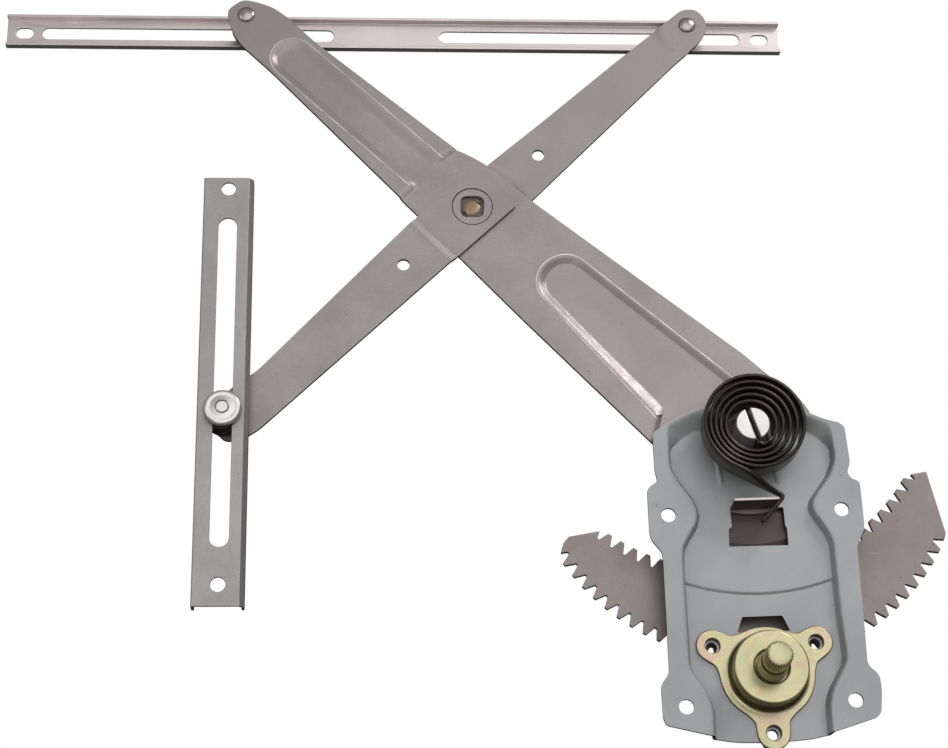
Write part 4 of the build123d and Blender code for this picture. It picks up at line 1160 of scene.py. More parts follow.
        # Its top band is bare sheared steel, painted bright as a highlight.
        edge = Prism("spring_tab_edge", [outline], self.tab_top - self.sheared_highlight_band, self.tab_top,
                     edge_round=0.12).build()
        finish(edge, Body.PLATE, Slot.ARM, SHEARED_EDGE_AND_HIGHLIGHT)


@dataclass
class LiftArm:
    """The long pressing from the pivot to the lift roller, with a bead in each half."""

    linkage: Linkage
    sheet: float = 2.0
    low: float = -31.4
    bead_drop: float = 2.0
    ridge_rise: float = 1.6
    root_r: float = 36.5
    dish_r: float = 42.9
    dish_run: float = 2.6
    rim_dish_r: float = 26.0
    rim_wedge: tuple[float, float] = (-78.0, -20.0)
    rim_wedge_run: float = 6.0
    ridge_start: float = 209.5
    ridge_run: float = 3.0
    ridge_slant: float = 0.1
    highlight_side: float = 3.0
    highlight_tip: float = 128.0
    highlight_share: tuple[float, float] = (0.12, 0.97)
    stud_hole_r: float = 8.0
    cross_hole_r: float = 10.1
    rivet_hole_r: float = 2.2
    sector_rivet_r: float = 3.0
    sector_rivet_circle_r: float = 22.0

    def blank(self) -> list[Point]:
        """The arm's outline: straight sides, a rounded tip and a round root about the pivot.

        Returns:
            Its points, along and across the arm's centre line.
        """
        edge = [
            (30.0, -34.2), (161.0, -24.0), (191.0, -23.2), (203.0, -20.6), (210.0, -18.1), (303.0, -13.1),
            (323.0, -13.8), (333.0, -12.9), (341.0, -9.5), (348.0, -5.2), (349.0, 5.5), (342.0, 9.8),
            (336.0, 12.9), (329.0, 14.6), (307.7, 14.9), (197.0, 21.8), (166.6, 24.1), (122.0, 27.1),
            (30.0, 32.0),
        ]
        start, end, parts = 64.0, 290.0, 40
        root = [polar(self.root_r, start + (end - start) * step / parts) for step in range(parts + 1)]
        return rounded(edge, 4.0, 4, closed=False) + root

    @staticmethod
    def round_end(tip: float, bend: float, near: float, far: float) -> list[Point]:
        """The round end of a bead.

        Args:
            tip: how far along the arm it reaches.
            bend: length of the end.
            near: where the bead's left side lies.
            far: where its right side lies.

        Returns:
            Points from the left side round to the right one.
        """
        half, middle, parts = (near - far) / 2, (near + far) / 2, 20
        turns = [math.pi * step / parts for step in range(parts + 1)]
        return [(tip - bend + bend * math.sin(turn), middle + half * math.cos(turn)) for turn in turns]

    @classmethod
    def low_bead(cls, floor: bool) -> list[Point]:
        """Upper or lower line of the wall of the bead towards the pivot, which widens to its root.

        Args:
            floor: whether it is the lower line, whose corners match those of the upper one.

        Returns:
            The line's points, along and across the arm.
        """
        tip, near, far, near_root, far_root = ((128.4, 7.0, -13.6, 14.6, -17.6) if floor
                                               else (133.6, 11.6, -17.6, 23.4, -21.7))
        root, longest_bend = 16.0, 13.0
        end = cls.round_end(tip, min((near - far) / 2, longest_bend), near, far)
        return [(root, near_root)] + end + [(root, far_root)]

    @classmethod
    def high_bead(cls, floor: bool) -> list[Point]:
        """Upper or lower line of the wall of the bead towards the lift roller.

        Args:
            floor: whether it is the lower line, whose corners match those of the upper one.

        Returns:
            The line's points, along and across the arm.
        """
        tip, near, far = (311.6, 8.6, -2.6) if floor else (316.4, 13.1, -10.2)
        root = 196.0
        return [(root, near)] + cls.round_end(tip, (near - far) / 2, near, far) + [(root, far)]

    def height(self, points: np.ndarray) -> np.ndarray:
        """Height of the middle of the sheet.

        Args:
            points: an array of x and y.

        Returns:
            One height for each point.
        """
        uv = local(points, self.linkage.pivot, self.linkage.arm_angle)
        level = self.low + self.bead_drop + self.sheet / 2
        radius = np.hypot(uv[:, 0], uv[:, 1])
        angle = np.degrees(np.arctan2(uv[:, 1], uv[:, 0]))
        inside = (soft((angle - self.rim_wedge[0]) / self.rim_wedge_run)
                  * soft((self.rim_wedge[1] - angle) / self.rim_wedge_run))
        reach = self.dish_r + (self.rim_dish_r - self.dish_r) * inside
        dish = soft((reach + self.dish_run / 2 - radius) / self.dish_run)
        down = np.maximum(between(uv, self.low_bead(False), self.low_bead(True)), dish)
        ridge = soft((uv[:, 0] - self.ridge_start + self.ridge_slant * abs(uv[:, 1])) / self.ridge_run)
        up = ridge * (1.0 - between(uv, self.high_bead(False), self.high_bead(True)))
        return level - self.bead_drop * down + self.ridge_rise * up

    def build(self) -> None:
        """Makes the arm and lets it stand for its solid."""
        pivot, angle = self.linkage.pivot, self.linkage.arm_angle
        level = self.low + self.bead_drop + self.sheet / 2
        holes = [circle(pivot, self.stud_hole_r), circle(self.linkage.cross, self.cross_hole_r, 64),
                 circle(self.linkage.lift_roller, self.rivet_hole_r, 20)]
        rivets = [polar(self.sector_rivet_circle_r, 30.0 + 120.0 * index, pivot) for index in range(3)]
        holes += [circle(spot, self.sector_rivet_r, 20) for spot in rivets]
        creases = (wall_loops(self.low_bead(False), self.low_bead(True))
                   + wall_loops(self.high_bead(False), self.high_bead(True)))
        # Lighter steel is painted as a highlight along the beads' upper edges, above these heights, and on
        # the edge rounds.
        clear_of_dish, up_on_ridge = level - 0.3, level + 0.7 * self.ridge_rise
        arm = Pressing("lift_arm_pressing", placed(self.blank(), pivot, angle), holes, self.height,
                       self.sheet, ARM_STEEL, [placed(loop, pivot, angle) for loop in creases], step=1.8,
                       edge_round=0.4, highlight_lines=[(placed(self.low_bead(False), pivot, angle), clear_of_dish),
                                               (placed(self.high_bead(False), pivot, angle), up_on_ridge)]
                       ).build()
        finish(arm, Body.LIFT_ARM, Slot.ARM, None, "lift_arm")
        # Painted highlight: one wall of the low bead gets lighter, sparkling steel.
        reface(arm, BEAD_WALL_HIGHLIGHT_STEEL, self.highlit_bead_wall)

    def highlit_bead_wall(self, spots: np.ndarray) -> np.ndarray:
        """Which points lie on the wall of the low bead that gets the painted highlight.

        Args:
            spots: an array of x, y and z.

        Returns:
            True for each point on that wall.
        """
        uv = local(spots[:, :2], self.linkage.pivot, self.linkage.arm_angle)
        share = between(uv, self.low_bead(False), self.low_bead(True))
        beside = (uv[:, 1] > self.highlight_side) & (uv[:, 0] > self.dish_r) & (uv[:, 0] < self.highlight_tip)
        return beside & (share > self.highlight_share[0]) & (share < self.highlight_share[1])


@dataclass
class BalanceArm:
    """Both halves of the balance arm and the joint that holds them across the lift arm."""

    linkage: Linkage
    sheet: float = 2.0
    low_centre: float = -27.3
    low_run: float = -25.6
    up_centre: float = -35.2
    up_run: float = -34.4
    up_tip: float = -33.6
    bend_start: float = 24.0
    bend_run: float = 7.5
    dish_r: float = 26.5
    tip_dish_r: float = 18.0
    dish_run: float = 3.0
    hole_at: float = 48.0
    hole_r: float = 3.1
    guide_hole_r: float = 3.0
    rivet_hole_r: float = 2.2
    bush_hole_r: float = 8.0
    disc_r: float = 10.0
    groove: float = 0.35
    key_half: Point = (8.3, 8.0)
    key_corner_r: float = 3.4
    key_floor: float = 1.3
    core_r: float = 9.4
    core_flange: float = 1.6
    pin_at: float = 5.6
    pin_r: float = 1.7

    def lower_height(self, points: np.ndarray) -> np.ndarray:
        """Height of the middle of the lower half.

        Args:
            points: an array of x and y.

        Returns:
            One height for each point.
        """
        uv = local(points, self.linkage.cross, self.linkage.balance_angle + 180.0)
        rise = soft((uv[:, 0] - self.bend_start) / self.bend_run)
        return self.low_centre + self.sheet / 2 + (self.low_run - self.low_centre) * rise

    def upper_height(self, points: np.ndarray) -> np.ndarray:
        """Height of the middle of the upper half.

        Args:
            points: an array of x and y.

        Returns:
            One height for each point.
        """
        uv = local(points, self.linkage.cross, self.linkage.balance_angle)
        root = np.hypot(uv[:, 0], uv[:, 1])
        tip = np.hypot(uv[:, 0] - self.linkage.cross_to_balance_roller, uv[:, 1])
        rise = (self.up_run - self.up_centre) * soft((root - self.dish_r) / self.dish_run)
        rise += (self.up_tip - self.up_run) * soft((self.tip_dish_r - tip) / self.dish_run)
        return self.up_centre + self.sheet / 2 + rise

    def build(self) -> None:
        """Makes both halves and the joint and lets them stand for their solids."""
        self.lower()
        self.upper()
        self.joint()

    def lower(self) -> None:
        """The half in front of the lift arm, which ends at the guide rail."""
        cross, angle = self.linkage.cross, self.linkage.balance_angle + 180.0
        low_edge = [
            (-15.5, 14.8), (-17.0, 13.3), (-17.0, -13.3), (-15.5, -14.8), (24.0, -14.7), (138.0, -8.0),
            (152.0, -9.8), (166.0, -10.2), (174.0, -5.0), (174.0, 8.0), (168.0, 13.0), (158.0, 14.7),
            (24.0, 14.7),
        ]
        parts, half_width = 3, 20.0
        bends = []
        for index in range(parts):
            near = self.bend_start + 2 * index * self.bend_run / (2 * parts - 1)
            far = near + self.bend_run / (2 * parts - 1)
            bends.append([(near, -half_width), (near, half_width), (far, half_width), (far, -half_width)])
        # The edge rounds of this half get lighter steel as a painted highlight.
        lower = Pressing("balance_arm_lower_pressing", placed(rounded(low_edge, 2.5, 4), cross, angle),
                         [circle(cross, self.disc_r + self.groove, 72),
                          circle(polar(self.hole_at, angle, cross), self.hole_r, 32),
                          circle(self.linkage.guide, self.guide_hole_r, 32)],
                         self.lower_height, self.sheet, ARM_STEEL,
                         [placed(bend, cross, angle) for bend in bends], edge_round=0.6, highlight_lines=[]).build()
        finish(lower, Body.BALANCE_ARM, Slot.ARM, None, "balance_arm_lower")

    def upper(self) -> None:
        """The half behind the lift arm, which ends at the balance roller."""
        cross, angle, roller = self.linkage.cross, self.linkage.balance_angle, self.linkage.balance_roller
        up_edge = [
            (-14.0, 9.0), (-16.5, 0.0), (-14.0, -9.0), (0.0, -15.5), (28.0, -16.0), (53.0, -14.9),
            (138.0, -11.5), (157.0, -11.7), (165.0, -9.3), (170.0, -4.0), (170.5, 3.5), (165.0, 8.4),
            (148.0, 9.2), (115.0, 10.7), (62.0, 12.2), (24.0, 13.8), (0.0, 15.0),
        ]
        rings = [circle(cross, self.dish_r + self.dish_run * share, 90) for share in (0.0, 0.5, 1.0)]
        rings += [circle(roller, self.tip_dish_r - self.dish_run * share, 60) for share in (1.0, 0.5, 0.0)]
        # The edge rounds of this half get lighter steel as a painted highlight.
        upper = Pressing("balance_arm_upper_pressing", placed(rounded(up_edge, 3.0, 4), cross, angle),
                         [circle(cross, self.bush_hole_r, 40),
                          circle(polar(self.hole_at, angle, cross), self.hole_r, 32),
                          circle(roller, self.rivet_hole_r, 20)],
                         self.upper_height, self.sheet, ARM_STEEL, rings, edge_round=0.4, highlight_lines=[]).build()
        finish(upper, Body.BALANCE_ARM, Slot.ARM, None, "balance_arm_upper")

    def joint(self) -> None:
        """The disc with its key-shaped opening, and the bronze floor with its two staked pins."""
        cross, angle = self.linkage.cross, self.linkage.balance_angle
        top = self.low_centre + self.sheet
        wide, high = self.key_half
        key = rounded([(wide, 0.0), (0.0, high), (-wide, 0.0), (0.0, -high)], self.key_corner_r, 6)
        gap = 0.1
        level = top - (self.key_floor + gap) / 2
        disc = Pressing("cross_joint_disc", circle(cross, self.disc_r, 72), [placed(key, cross, angle)],
                        lambda points: np.full(len(points), level), self.key_floor - gap,
                        ARM_STEEL, step=1.2).build()
        finish(disc, Body.BALANCE_ARM, Slot.ARM, None)
        floor, foot = top - self.key_floor - gap, self.up_centre - self.core_flange
        neck, seat = self.core_r - 1.5, self.up_centre - 0.05
        core = Turned("cross_joint_core", cross, [
            (0.0, foot), (self.core_r - 0.8, foot), (self.core_r, foot + 0.5), (self.core_r, seat),
            (neck, seat), (neck, floor), (0.0, floor),
        ]).build()
        finish(core, Body.BALANCE_ARM, Slot.BRASS, CUT_EDGE_AND_SHADE, "centre_rivet")
        mound = Turned("cross_joint_mound", cross, [
            (0.0, floor - 0.2), (4.2, floor - 0.2), (4.1, floor + 0.1), (3.4, floor + 0.45),
            (2.2, floor + 0.65), (0.0, floor + 0.7),
        ], count=48).build()
        finish(mound, Body.BALANCE_ARM, Slot.BRASS, BRONZE)
        for number, turn in enumerate((angle, angle + 180.0)):
            pin = Turned("cross_joint_pin_%d" % (number + 1), polar(self.pin_at, turn, cross), [
                (0.0, floor), (self.pin_r, floor), (self.pin_r, floor + 0.9),
                (self.pin_r - 0.3, floor + 1.05), (self.pin_r - 0.6, floor + 0.9),
                (self.pin_r - 0.7, floor + 0.4), (self.pin_r - 1.1, floor + 0.4), (0.0, floor + 0.5),
            ], count=32).build()
            finish(pin, Body.BALANCE_ARM, Slot.BRASS, SPRING_STEEL)


@dataclass
class CrankUnit:
    """The crank's housing with its three ears, and the serrated shaft."""

    foot_low: float = -29.1
    ear_sheet: float = 2.0
    ear_circle_r: float = EAR_CIRCLE_R
    ear_r: float = 7.8
    ear_hole_r: float = 3.4
    ear_flare: float = 5.0
    ear_flare_half: float = 0.62
    base_r: float = 22.2
    cup_r: float = 17.4
    cup_top: float = -15.4
    mouth_r: float = 8.0
    flare: float = 2.6
    shoulder: float = 1.0
    lip: float = 1.0
    wall: float = 1.6
    shaft_r: float = 6.3
    shaft_tip: float = 5.5
    shaft_low: float = -47.0
    tail_r: float = 5.4
    pinion_seat_r: float = 4.45
    pinion_seat: tuple[float, float] = (-44.5, -37.4)
    bulge_rise: float = 1.1
    bulge: tuple[float, float] = (-19.5, -10.0)
    groove: tuple[float, float] = (-8.4, -5.3)
    groove_depth: float = 1.0
    serrations: int = 30
    serration_depth: float = 1.0

    def ear_blank(self) -> list[Point]:
        """Outline of the foot: a circle that runs over into three ears.

        Returns:
            The outline's points, from the crank's axis.
        """
        count = 360
        reach = np.full(count, self.base_r)
        turns = np.arange(count) * math.tau / count
        for angle in EAR_ANGLES:
            away = (turns - math.radians(angle) + math.pi) % math.tau - math.pi
            side = self.ear_circle_r * np.sin(away)
            hit = (abs(side) < self.ear_r) & (np.cos(away) > 0)
            tip = self.ear_circle_r * np.cos(away) + np.sqrt(np.maximum(self.ear_r ** 2 - side ** 2, 0.0))
            reach = np.where(hit, np.maximum(reach, tip), reach)
            neck = np.minimum(self.ear_r / np.maximum(abs(np.sin(away)), 1e-6), self.ear_circle_r)
            reach = np.where((np.cos(away) > 0) & (neck > self.base_r), np.maximum(reach, neck), reach)
            flare = self.base_r + self.ear_flare * soft(1.0 - abs(away) / self.ear_flare_half)
            reach = np.maximum(reach, flare)
        wide = 9
        window = np.hanning(wide)
        window /= window.sum()
        ends = wide - 1
        wrapped = np.concatenate([reach[-ends:], reach, reach[:ends]])
        smooth = np.convolve(wrapped, window, mode="same")[ends:-ends]
        return [(float(r * math.cos(t)), float(r * math.sin(t))) for r, t in zip(smooth, turns)][::2]

    def build(self) -> None:
        """Makes the housing and the shaft and lets them stand for their solids."""
        centre = (0.0, 0.0)
        spots = [polar(self.ear_circle_r, angle) for angle in EAR_ANGLES]
        level = self.foot_low + self.ear_sheet / 2
        holes = [circle(spot, self.ear_hole_r, 40) for spot in spots]
        holes.append(circle(centre, self.cup_r - self.wall, 72))
        foot = Pressing("housing_foot", self.ear_blank(), holes, lambda points: np.full(len(points), level),
                        self.ear_sheet - 0.1, YELLOW_ZINC, step=1.6, edge_round=0.5).build()
        finish(foot, Body.PLATE, Slot.YELLOW, None, "crank_housing")
        cup = Turned("housing_cup", centre, self.cup_section(), count=96).build()
        finish(cup, Body.PLATE, Slot.YELLOW, YELLOW_ZINC, "crank_housing")
        # Painted shade: the cup's steep wall and its mouth get the darker zinc, which also stands for a dark
        # reflection.
        reface(cup, ZINC_WITH_PAINTED_SHADE, self.in_painted_shade)
        self.shaft()

    def cup_section(self) -> list[Point]:
        """Half section of the drawn cup: flared skirt, wall, shoulder, lip of the mouth and the inside.

        Returns:
            Radii and heights, back to where they start.
        """
        ear_top = self.foot_low + self.ear_sheet
        top, inner, skirt = self.cup_top, self.cup_r - self.wall, self.cup_r + self.flare
        roof, foot = top - self.wall, self.foot_low + 0.2
        parts = 9
        quarter = [math.pi / 2 * index / parts for index in range(parts + 1)]
        outside = [(skirt - self.flare * math.sin(turn), ear_top - 0.08 + self.flare * (1 - math.cos(turn)))
                   for turn in quarter]
        shoulder = [(self.cup_r - self.shoulder * (1 - math.cos(turn)),
                     top - self.shoulder * (1 - math.sin(turn))) for turn in quarter]
        mouth = [(self.mouth_r + self.lip * (1 - math.sin(turn)), top - self.lip * (1 - math.cos(turn)))
                 for turn in quarter]
        inside = [(self.mouth_r, roof), (inner - 1.0, roof), (inner, roof - 1.0), (inner, foot),
                  (skirt - 0.6, foot), (skirt, ear_top - 0.12)]
        return outside + shoulder + mouth + inside + [outside[0]]

    def in_painted_shade(self, spots: np.ndarray) -> np.ndarray:
        """Which points lie on the cup's steep outer wall or in its mouth, where shade is painted.

        Args:
            spots: an array of x, y and z.

        Returns:
            True for each point there.
        """
        away, height = np.hypot(spots[:, 0], spots[:, 1]), spots[:, 2]
        below_shoulder = height < self.cup_top - 0.6 * self.shoulder
        above_foot = height > self.foot_low + self.ear_sheet + 0.15 * self.flare
        outer = away > self.cup_r - 0.25 * self.shoulder
        return (below_shoulder & above_foot & outer) | (away < self.mouth_r + 0.3 * self.lip)

    def ripple(self, radius: float, height: float, angle: float) -> float:
        """The shaft's radius at an angle, cut back between its serrations.

        Args:
            radius: the plain shaft's radius there.
            height: height on the shaft.
            angle: direction in radians.

        Returns:
            The cut radius, or the plain one below the serrated end and on its face.
        """
        if height < self.groove[1] - 0.1 or radius < self.shaft_r - 0.75:
            return radius
        wave = 0.5 - 0.5 * math.cos(self.serrations * angle)
        return radius - self.serration_depth * wave

    def shaft(self) -> None:
        """The shaft: tail, pinion's seat, a bulge in the housing's mouth, a groove and the serrated end."""
        r, tip, low = self.shaft_r, self.shaft_tip, self.shaft_low
        seat_low, seat_high = self.pinion_seat
        start, end = self.bulge
        groove_low, groove_high = self.groove
        bottom, shallow = r - self.groove_depth, r - self.groove_depth + 0.1
        section = [(0.0, low), (self.tail_r - 0.2, low), (self.tail_r, low + 0.3), (self.tail_r, seat_low),
                   (self.pinion_seat_r, seat_low), (self.pinion_seat_r, seat_high), (r, seat_high)]
        section += [(r + self.bulge_rise * math.sin(math.pi * share), start + (end - start) * share)
                    for share in np.linspace(0.0, 1.0, 14)]
        section += [(r, groove_low), (r - 0.2, groove_low + 0.5), (shallow, groove_low + 1.0),
                    (bottom, groove_low + 1.8), (shallow, groove_high - 0.6), (r - 0.3, groove_high - 0.2),
                    (r, groove_high)]
        section += [(r, tip - 0.7), (r - 0.15, tip - 0.3), (r - 0.5, tip - 0.05), (r - 0.7, tip), (0.0, tip)]
        shaft = Turned("crank_shaft_turned", (0.0, 0.0), section, count=self.serrations * 8,
                       ripple=self.ripple).build()
        finish(shaft, Body.CRANK, Slot.YELLOW, YELLOW_ZINC, "crank_shaft")
        # Painted shade: the shaft inside the mouth and in its groove gets the darker zinc.
        reface(shaft, ZINC_WITH_PAINTED_SHADE, lambda spots: (spots[:, 2] < self.cup_top + 0.4)
               | ((spots[:, 2] > groove_low + 0.2) & (spots[:, 2] < groove_high - 0.3)))


@dataclass
class PivotUnit:
    """The slotted stud and the clock spring that winds round it to the plate's tab."""

    linkage: Linkage
    stud_r: float = 8.0
    stud_top: float = -4.0
    slot_floor: float = -20.5
    slot_width: float = 2.4
    slot_angle: float = 105.0
    hub_r: float = 13.0
    hub_high: float = -34.0
    hub_thickness: float = 2.0
    spring_low: float = -18.0
    spring_width: float = 12.5
    strip: float = 1.7
    first_r: float = 10.8
    pitch: float = 2.9
    turns: float = 4.858
    shift: Point = (2.4, 1.8)
    hook_corner: Point = (13.2, -33.2)
    hook_corner_r: float = 2.2
    hook_end: Point = (1.6, -45.0)
    hook_width: float = 4.8
    hook_taper: float = 1.6
    taper_run: float = 21.0
    inner_width: float = 10.5
    inner_tip: float = 5.5
    inner_end: float = 9.6

    def build(self) -> None:
        """Makes the stud and the spring and lets them stand for their solids."""
        self.stud()
        self.spring()

    def stud(self) -> None:
        """The stud: a base with its hub, and two cheeks beside the slot."""
        pivot = self.linkage.pivot
        hub_low = self.hub_high - self.hub_thickness
        base = Turned("pivot_stud_base", pivot, [
            (0.0, hub_low), (self.hub_r - 1.0, hub_low), (self.hub_r, hub_low + 1.0),
            (self.hub_r, self.hub_high), (self.stud_r, self.hub_high), (self.stud_r, self.slot_floor),
            (0.0, self.slot_floor),
        ]).build()
        finish(base, Body.LIFT_ARM, Slot.BRIGHT, BRIGHT_ZINC, "pivot_stud")
        gap = math.degrees(math.asin(self.slot_width / 2 / self.stud_r))
        parts = 40
        halves = []
        for turn in (0.0, 180.0):
            start, end = self.slot_angle + turn + gap, self.slot_angle + turn + 180.0 - gap
            halves.append([polar(self.stud_r, start + (end - start) * index / parts, pivot)
                           for index in range(parts + 1)])
        cheeks = Prism("pivot_stud_cheeks", halves, self.slot_floor - 0.2, self.stud_top,
                       edge_round=0.45).build()
        finish(cheeks, Body.LIFT_ARM, Slot.BRIGHT, BRIGHT_ZINC, "pivot_stud")

    def spring(self) -> None:
        """The spring: its inner end in the slot, its coils, and the narrower leg that hooks the tab."""
        behind = self.slot_angle - 180.0
        inner = [polar(self.inner_tip, self.slot_angle), polar(1.0, self.slot_angle), polar(4.0, behind),
                 polar(self.inner_end, behind)]
        path = self.even(inner, 0.8)
        self.strip_piece("spring_inner_end", path, Body.LIFT_ARM, [self.inner_width] * len(path))
        parts = 260
        coils = [self.coil(index / parts) for index in range(parts + 1)]
        root = self.even([polar(self.first_r - 2.0, behind), self.coil(0.004)], 0.5)
        leg = rounded([self.coil(0.99), self.hook_corner, self.hook_end], self.hook_corner_r, 8, closed=False)
        path = self.even(root + coils[3:] + leg[1:], 0.9)
        line = np.asarray(path)
        gone = self.lengths(line)
        corner = gone[np.argmin(np.hypot(*(line - np.asarray(self.hook_corner)).T))]
        share = soft((gone - (corner - self.taper_run - 1.0)) / self.taper_run)
        widths = self.spring_width - (self.spring_width - self.hook_width) * share
        widths -= self.hook_taper * soft((gone - corner - 2.0) / 12.0)
        self.strip_piece("clock_spring", path, Body.PLATE, list(widths), "counterbalance_spring")

    def coil(self, share: float) -> Point:
        """A point on the middle of the strip where it is coiled.

        Args:
            share: share of the coils' turns, from the stud.

        Returns:
            The point, from the pivot.
        """
        reach = self.first_r + self.pitch * self.turns * share
        x, y = polar(reach, self.slot_angle - 180.0 + self.turns * 360.0 * share)
        return x + self.shift[0] * share, y + self.shift[1] * share

    @staticmethod
    def lengths(line: np.ndarray) -> np.ndarray:
        """Length of a path up to each of its points."""
        return np.concatenate([[0.0], np.cumsum(np.hypot(*np.diff(line, axis=0).T))])

    @classmethod
    def even(cls, path: Sequence[Point], step: float) -> list[Point]:
        """The same path with points at even distances.

        Args:
            path: points in order.
            step: about how far apart the new points are.

        Returns:
            The new points.
        """
        line = np.asarray(path)
        gone = cls.lengths(line)
        count = max(2, round(gone[-1] / step))
        marks = np.linspace(0.0, gone[-1], count + 1)
        return [(float(x), float(y)) for x, y in zip(np.interp(marks, gone, line[:, 0]),
                                                     np.interp(marks, gone, line[:, 1]))]

    def strip_piece(self, name: str, path: list[Point], body: Body, widths: Sequence[float],
                    *nodes: str) -> None:
        """Sweeps one stretch of the spring and finishes it.

        Args:
            name: the piece's name.
            path: points on the middle of the strip, from the pivot.
            body: the body that it rides on.
            widths: the strip's width at each point.
            nodes: CAD nodes that it replaces.
        """
        tops = [self.spring_low + width for width in widths]
        piece = Strip(name, placed(path, self.linkage.pivot), self.strip, self.spring_low, tops).build()
        finish(piece, body, Slot.SPRING, SPRING_STEEL, *nodes)


@dataclass
class Fixings:
    """The two domed roller rivets and the button that holds the guide rail."""

    linkage: Linkage
    neck_r: float = 2.2
    head_r: float = 4.4
    head_height: float = 1.9
    neck_low: float = -46.9
    lift_arm_face: float = -25.8
    balance_arm_face: float = -31.6
    button_r: float = 8.9
    button_low: float = -9.4
    button_top: float = -5.0
    button_round: float = 1.5
    button_hole_r: float = 3.06
    button_ring_r: float = 6.1

    def build(self) -> None:
        """Makes the rivets and the button and lets them stand for their solids."""
        for name, spot, seat, body in (
                ("lift_arm_roller_rivet", self.linkage.lift_roller, self.lift_arm_face, Body.LIFT_ARM),
                ("balance_arm_roller_rivet", self.linkage.balance_roller, self.balance_arm_face,
                 Body.BALANCE_ARM)):
            rim = 0.25
            dome = [(self.head_r * math.cos(turn), seat + rim + (self.head_height - rim) * math.sin(turn))
                    for turn in np.linspace(0.0, math.pi / 2, 14)[:-1]]
            section = [(0.0, self.neck_low), (self.neck_r, self.neck_low), (self.neck_r, seat),
                       (self.head_r - 0.15, seat)]
            section += dome + [(0.0, seat + self.head_height)]
            rivet = Turned(name + "_turned", spot, section, count=48).build()
            finish(rivet, body, Slot.BRIGHT, SET_HEAD, name)
        self.button()

    def button(self) -> None:
        """The button's cap: a rounded disc with a faint ring and a raised middle."""
        low, top, reach, hole = self.button_low, self.button_top, self.button_r, self.button_hole_r
        face, ring = top - 1.6, self.button_ring_r
        rim = [(reach - self.button_round * (1 - math.cos(turn)),
                face - self.button_round * (1 - math.sin(turn))) for turn in np.linspace(0.0, math.pi / 2, 8)]
        section = [(hole, low), (reach - 0.4, low), (reach, low + 0.4)] + rim
        section += [(ring + 0.3, face), (ring, face - 0.08), (ring - 0.3, face), (3.9, face + 0.1),
                    (3.4, face + 0.3), (3.2, face + 0.7), (hole, face + 0.9), (hole, low)]
        cap = Turned("guide_cap_turned", self.linkage.guide, section, count=64).build()
        finish(cap, Body.GUIDE_SLIDER, Slot.BRIGHT, BRIGHT_ZINC, "guide_cap")


@dataclass(frozen=True)
class Lamp:
    """A square soft lamp that faces the middle of the part; lengths are in metres."""

    name: str
    place: tuple[float, float, float]
    size: float
    watts: float
    aim: tuple[float, float, float] = (-0.1, 0.12, 0.0)

    def build(self) -> None:
        """Makes the lamp."""
        data = bpy.data.lights.new(self.name, "AREA")
        data.size = self.size
        data.energy = self.watts
        lamp = bpy.data.objects.new(self.name, data)
        bpy.context.scene.collection.objects.link(lamp)
        lamp.location = self.place
        way = Vector(self.aim) - Vector(self.place)
        lamp.rotation_euler = way.to_track_quat("-Z", "Y").to_euler()


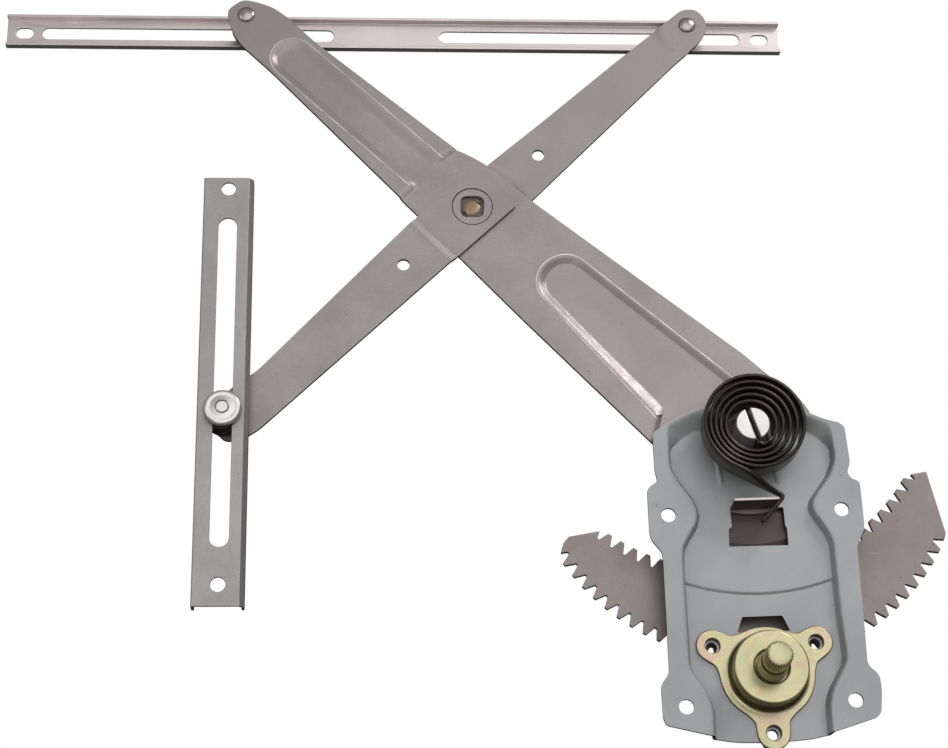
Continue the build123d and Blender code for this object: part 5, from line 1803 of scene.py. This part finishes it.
@dataclass
class Studio:
    """White floor, soft lamps and the camera of the photograph."""

    focal_px: float = 2177.4
    image_width: int = 948
    camera_mm: tuple[float, float, float] = (-193.76, -258.97, 940.79)
    right: tuple[float, float, float] = (0.9975719, -0.05231866, 0.04596796)
    up: tuple[float, float, float] = (0.03002526, 0.91863727, 0.39395945)
    sensor_mm: float = 36.0
    floor_z: float = -47.0
    floor_half: float = 6000.0
    floor_tone: str = "4a4a4a"
    sky_low: float = 0.07
    sky_high: float = 0.45
    lamps: tuple[Lamp, ...] = (
        Lamp("overhead", (0.05, 0.38, 1.45), 1.4, 9.5),
        Lamp("rim", (0.62, 1.0, 0.62), 0.35, 7.0),
        Lamp("left", (-1.2, 0.3, 0.9), 0.7, 3.0),
        Lamp("front", (-0.6, -0.45, 1.15), 0.5, 1.6),
    )

    def build(self) -> None:
        """Makes the camera, the floor, the world and the lamps."""
        self.camera()
        self.floor()
        self.world()
        for lamp in self.lamps:
            lamp.build()
        bpy.context.scene.view_settings.view_transform = "Standard"

    def camera(self) -> None:
        """The camera, placed and turned as the photograph shows the part."""
        scene = bpy.context.scene
        data = bpy.data.cameras.new("camera")
        data.sensor_width = self.sensor_mm
        data.lens = self.focal_px / self.image_width * self.sensor_mm
        data.clip_start = 0.01
        data.clip_end = 20.0
        camera = bpy.data.objects.new("camera", data)
        scene.collection.objects.link(camera)
        right = Vector(self.right).normalized()
        up = Vector(self.up)
        up = (up - right * up.dot(right)).normalized()
        back = right.cross(up)
        turn = Matrix((right, up, back)).transposed().to_4x4()
        camera.matrix_world = Matrix.Translation(Vector(self.camera_mm) * MM) @ turn
        scene.camera = camera

    def floor(self) -> None:
        """A sheet under the part, white to the camera and darker to the part, as a small sheet would be."""
        half = self.floor_half
        corners = ((-half, -half), (half, -half), (half, half), (-half, half))
        verts = [(x, y, self.floor_z) for x, y in corners]
        sheet = new_object("studio_floor", verts, [(0, 1, 2, 3)])
        material = bpy.data.materials.new("white paper")
        material.use_nodes = True
        tree = material.node_tree
        tree.nodes.clear()
        paper = add_node(tree, "ShaderNodeBsdfDiffuse", None, {"Color": srgb(self.floor_tone)})
        white = add_node(tree, "ShaderNodeEmission", None, {"Color": WHITE, "Strength": 1.0})
        path = add_node(tree, "ShaderNodeLightPath")
        pick = add_node(tree, "ShaderNodeMixShader", None, None,
                        {0: path.outputs["Is Camera Ray"], 1: paper.outputs[0], 2: white.outputs[0]})
        add_node(tree, "ShaderNodeOutputMaterial", None, None, {"Surface": pick.outputs[0]})
        sheet.data.materials.append(material)

    def world(self) -> None:
        """A pale surround that is brighter overhead, and white to the camera."""
        world = bpy.data.worlds.new("surround")
        bpy.context.scene.world = world
        world.use_nodes = True
        tree = world.node_tree
        tree.nodes.clear()
        way = add_node(tree, "ShaderNodeTexCoord").outputs["Generated"]
        parts = add_node(tree, "ShaderNodeSeparateXYZ", None, None, {0: way})
        height = add_node(tree, "ShaderNodeMapRange", None, {
            "From Min": 0.05, "From Max": 0.9, "To Min": self.sky_low, "To Max": self.sky_high,
        }, {"Value": parts.outputs[2]})
        path = add_node(tree, "ShaderNodeLightPath")
        plain = add_node(tree, "ShaderNodeBackground", None, {"Color": WHITE},
                         {"Strength": height.outputs[0]})
        white = add_node(tree, "ShaderNodeBackground", None, {"Color": WHITE, "Strength": 1.0})
        pick = add_node(tree, "ShaderNodeMixShader", None, None,
                        {0: path.outputs["Is Camera Ray"], 1: plain.outputs[0], 2: white.outputs[0]})
        add_node(tree, "ShaderNodeOutputWorld", None, None, {"Surface": pick.outputs[0]})


# The finish of each CAD node, by the pieces that have it.
NODES_BY_FINISH: tuple[tuple[Metal | Nylon, tuple[str, ...]], ...] = (
    (PLATE_COAT, ("base_plate",)),
    (ARM_STEEL, ("lift_arm", "balance_arm_lower", "balance_arm_upper")),
    (SECTOR_STEEL, ("sector_gear",)),
    (RAIL_STEEL, ("lift_rail",)),
    (GUIDE_STEEL, ("guide_rail",)),
    (YELLOW_ZINC, ("crank_housing", "crank_shaft", "pinion_gear", "drive_drum")),
    (BRIGHT_ZINC, ("housing_nuts", "pivot_bush", "pivot_stud", "sector_rivets", "lift_arm_roller_rivet",
                   "balance_arm_roller_rivet", "guide_pin", "guide_washer", "guide_cap")),
    (SPRING_STEEL, ("counterbalance_spring", "brake_spring", "stud_washer")),
    (BRONZE, ("centre_bush", "centre_rivet")),
    (BLACK_NYLON, ("lift_arm_roller", "balance_arm_roller", "guide_bush")),
)


def dress_nodes(frame: dict) -> None:
    """Gives every CAD node its finish and a small round on its edges.

    Args:
        frame: the loaded frame.
    """
    merge_mm, edge_mm, sharp_deg = 0.001, 0.25, 40.0
    finishes = {name: metal.name for metal, names in NODES_BY_FINISH for name in names}
    for name, node in frame["nodes"].items():
        node.data.materials.clear()
        node.data.materials.append(bpy.data.materials[finishes[name]])
        weld = node.modifiers.new("weld", "WELD")
        weld.merge_threshold = merge_mm * MM
        round_edges(node, edge_mm, sharp_deg)
        LOG.info("%s: %s", name, finishes[name])


def main() -> None:
    """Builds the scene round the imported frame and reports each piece."""
    logging.basicConfig(level=logging.INFO, format="%(message)s")
    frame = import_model()
    for material in FINISHES:
        material.build()
    Studio().build()
    dress_nodes(frame)
    linkage = Linkage()
    BasePlate(linkage).build()
    LiftArm(linkage).build()
    BalanceArm(linkage).build()
    CrankUnit().build()
    PivotUnit(linkage).build()
    Fixings(linkage).build()


if __name__ == "__main__":
    main()
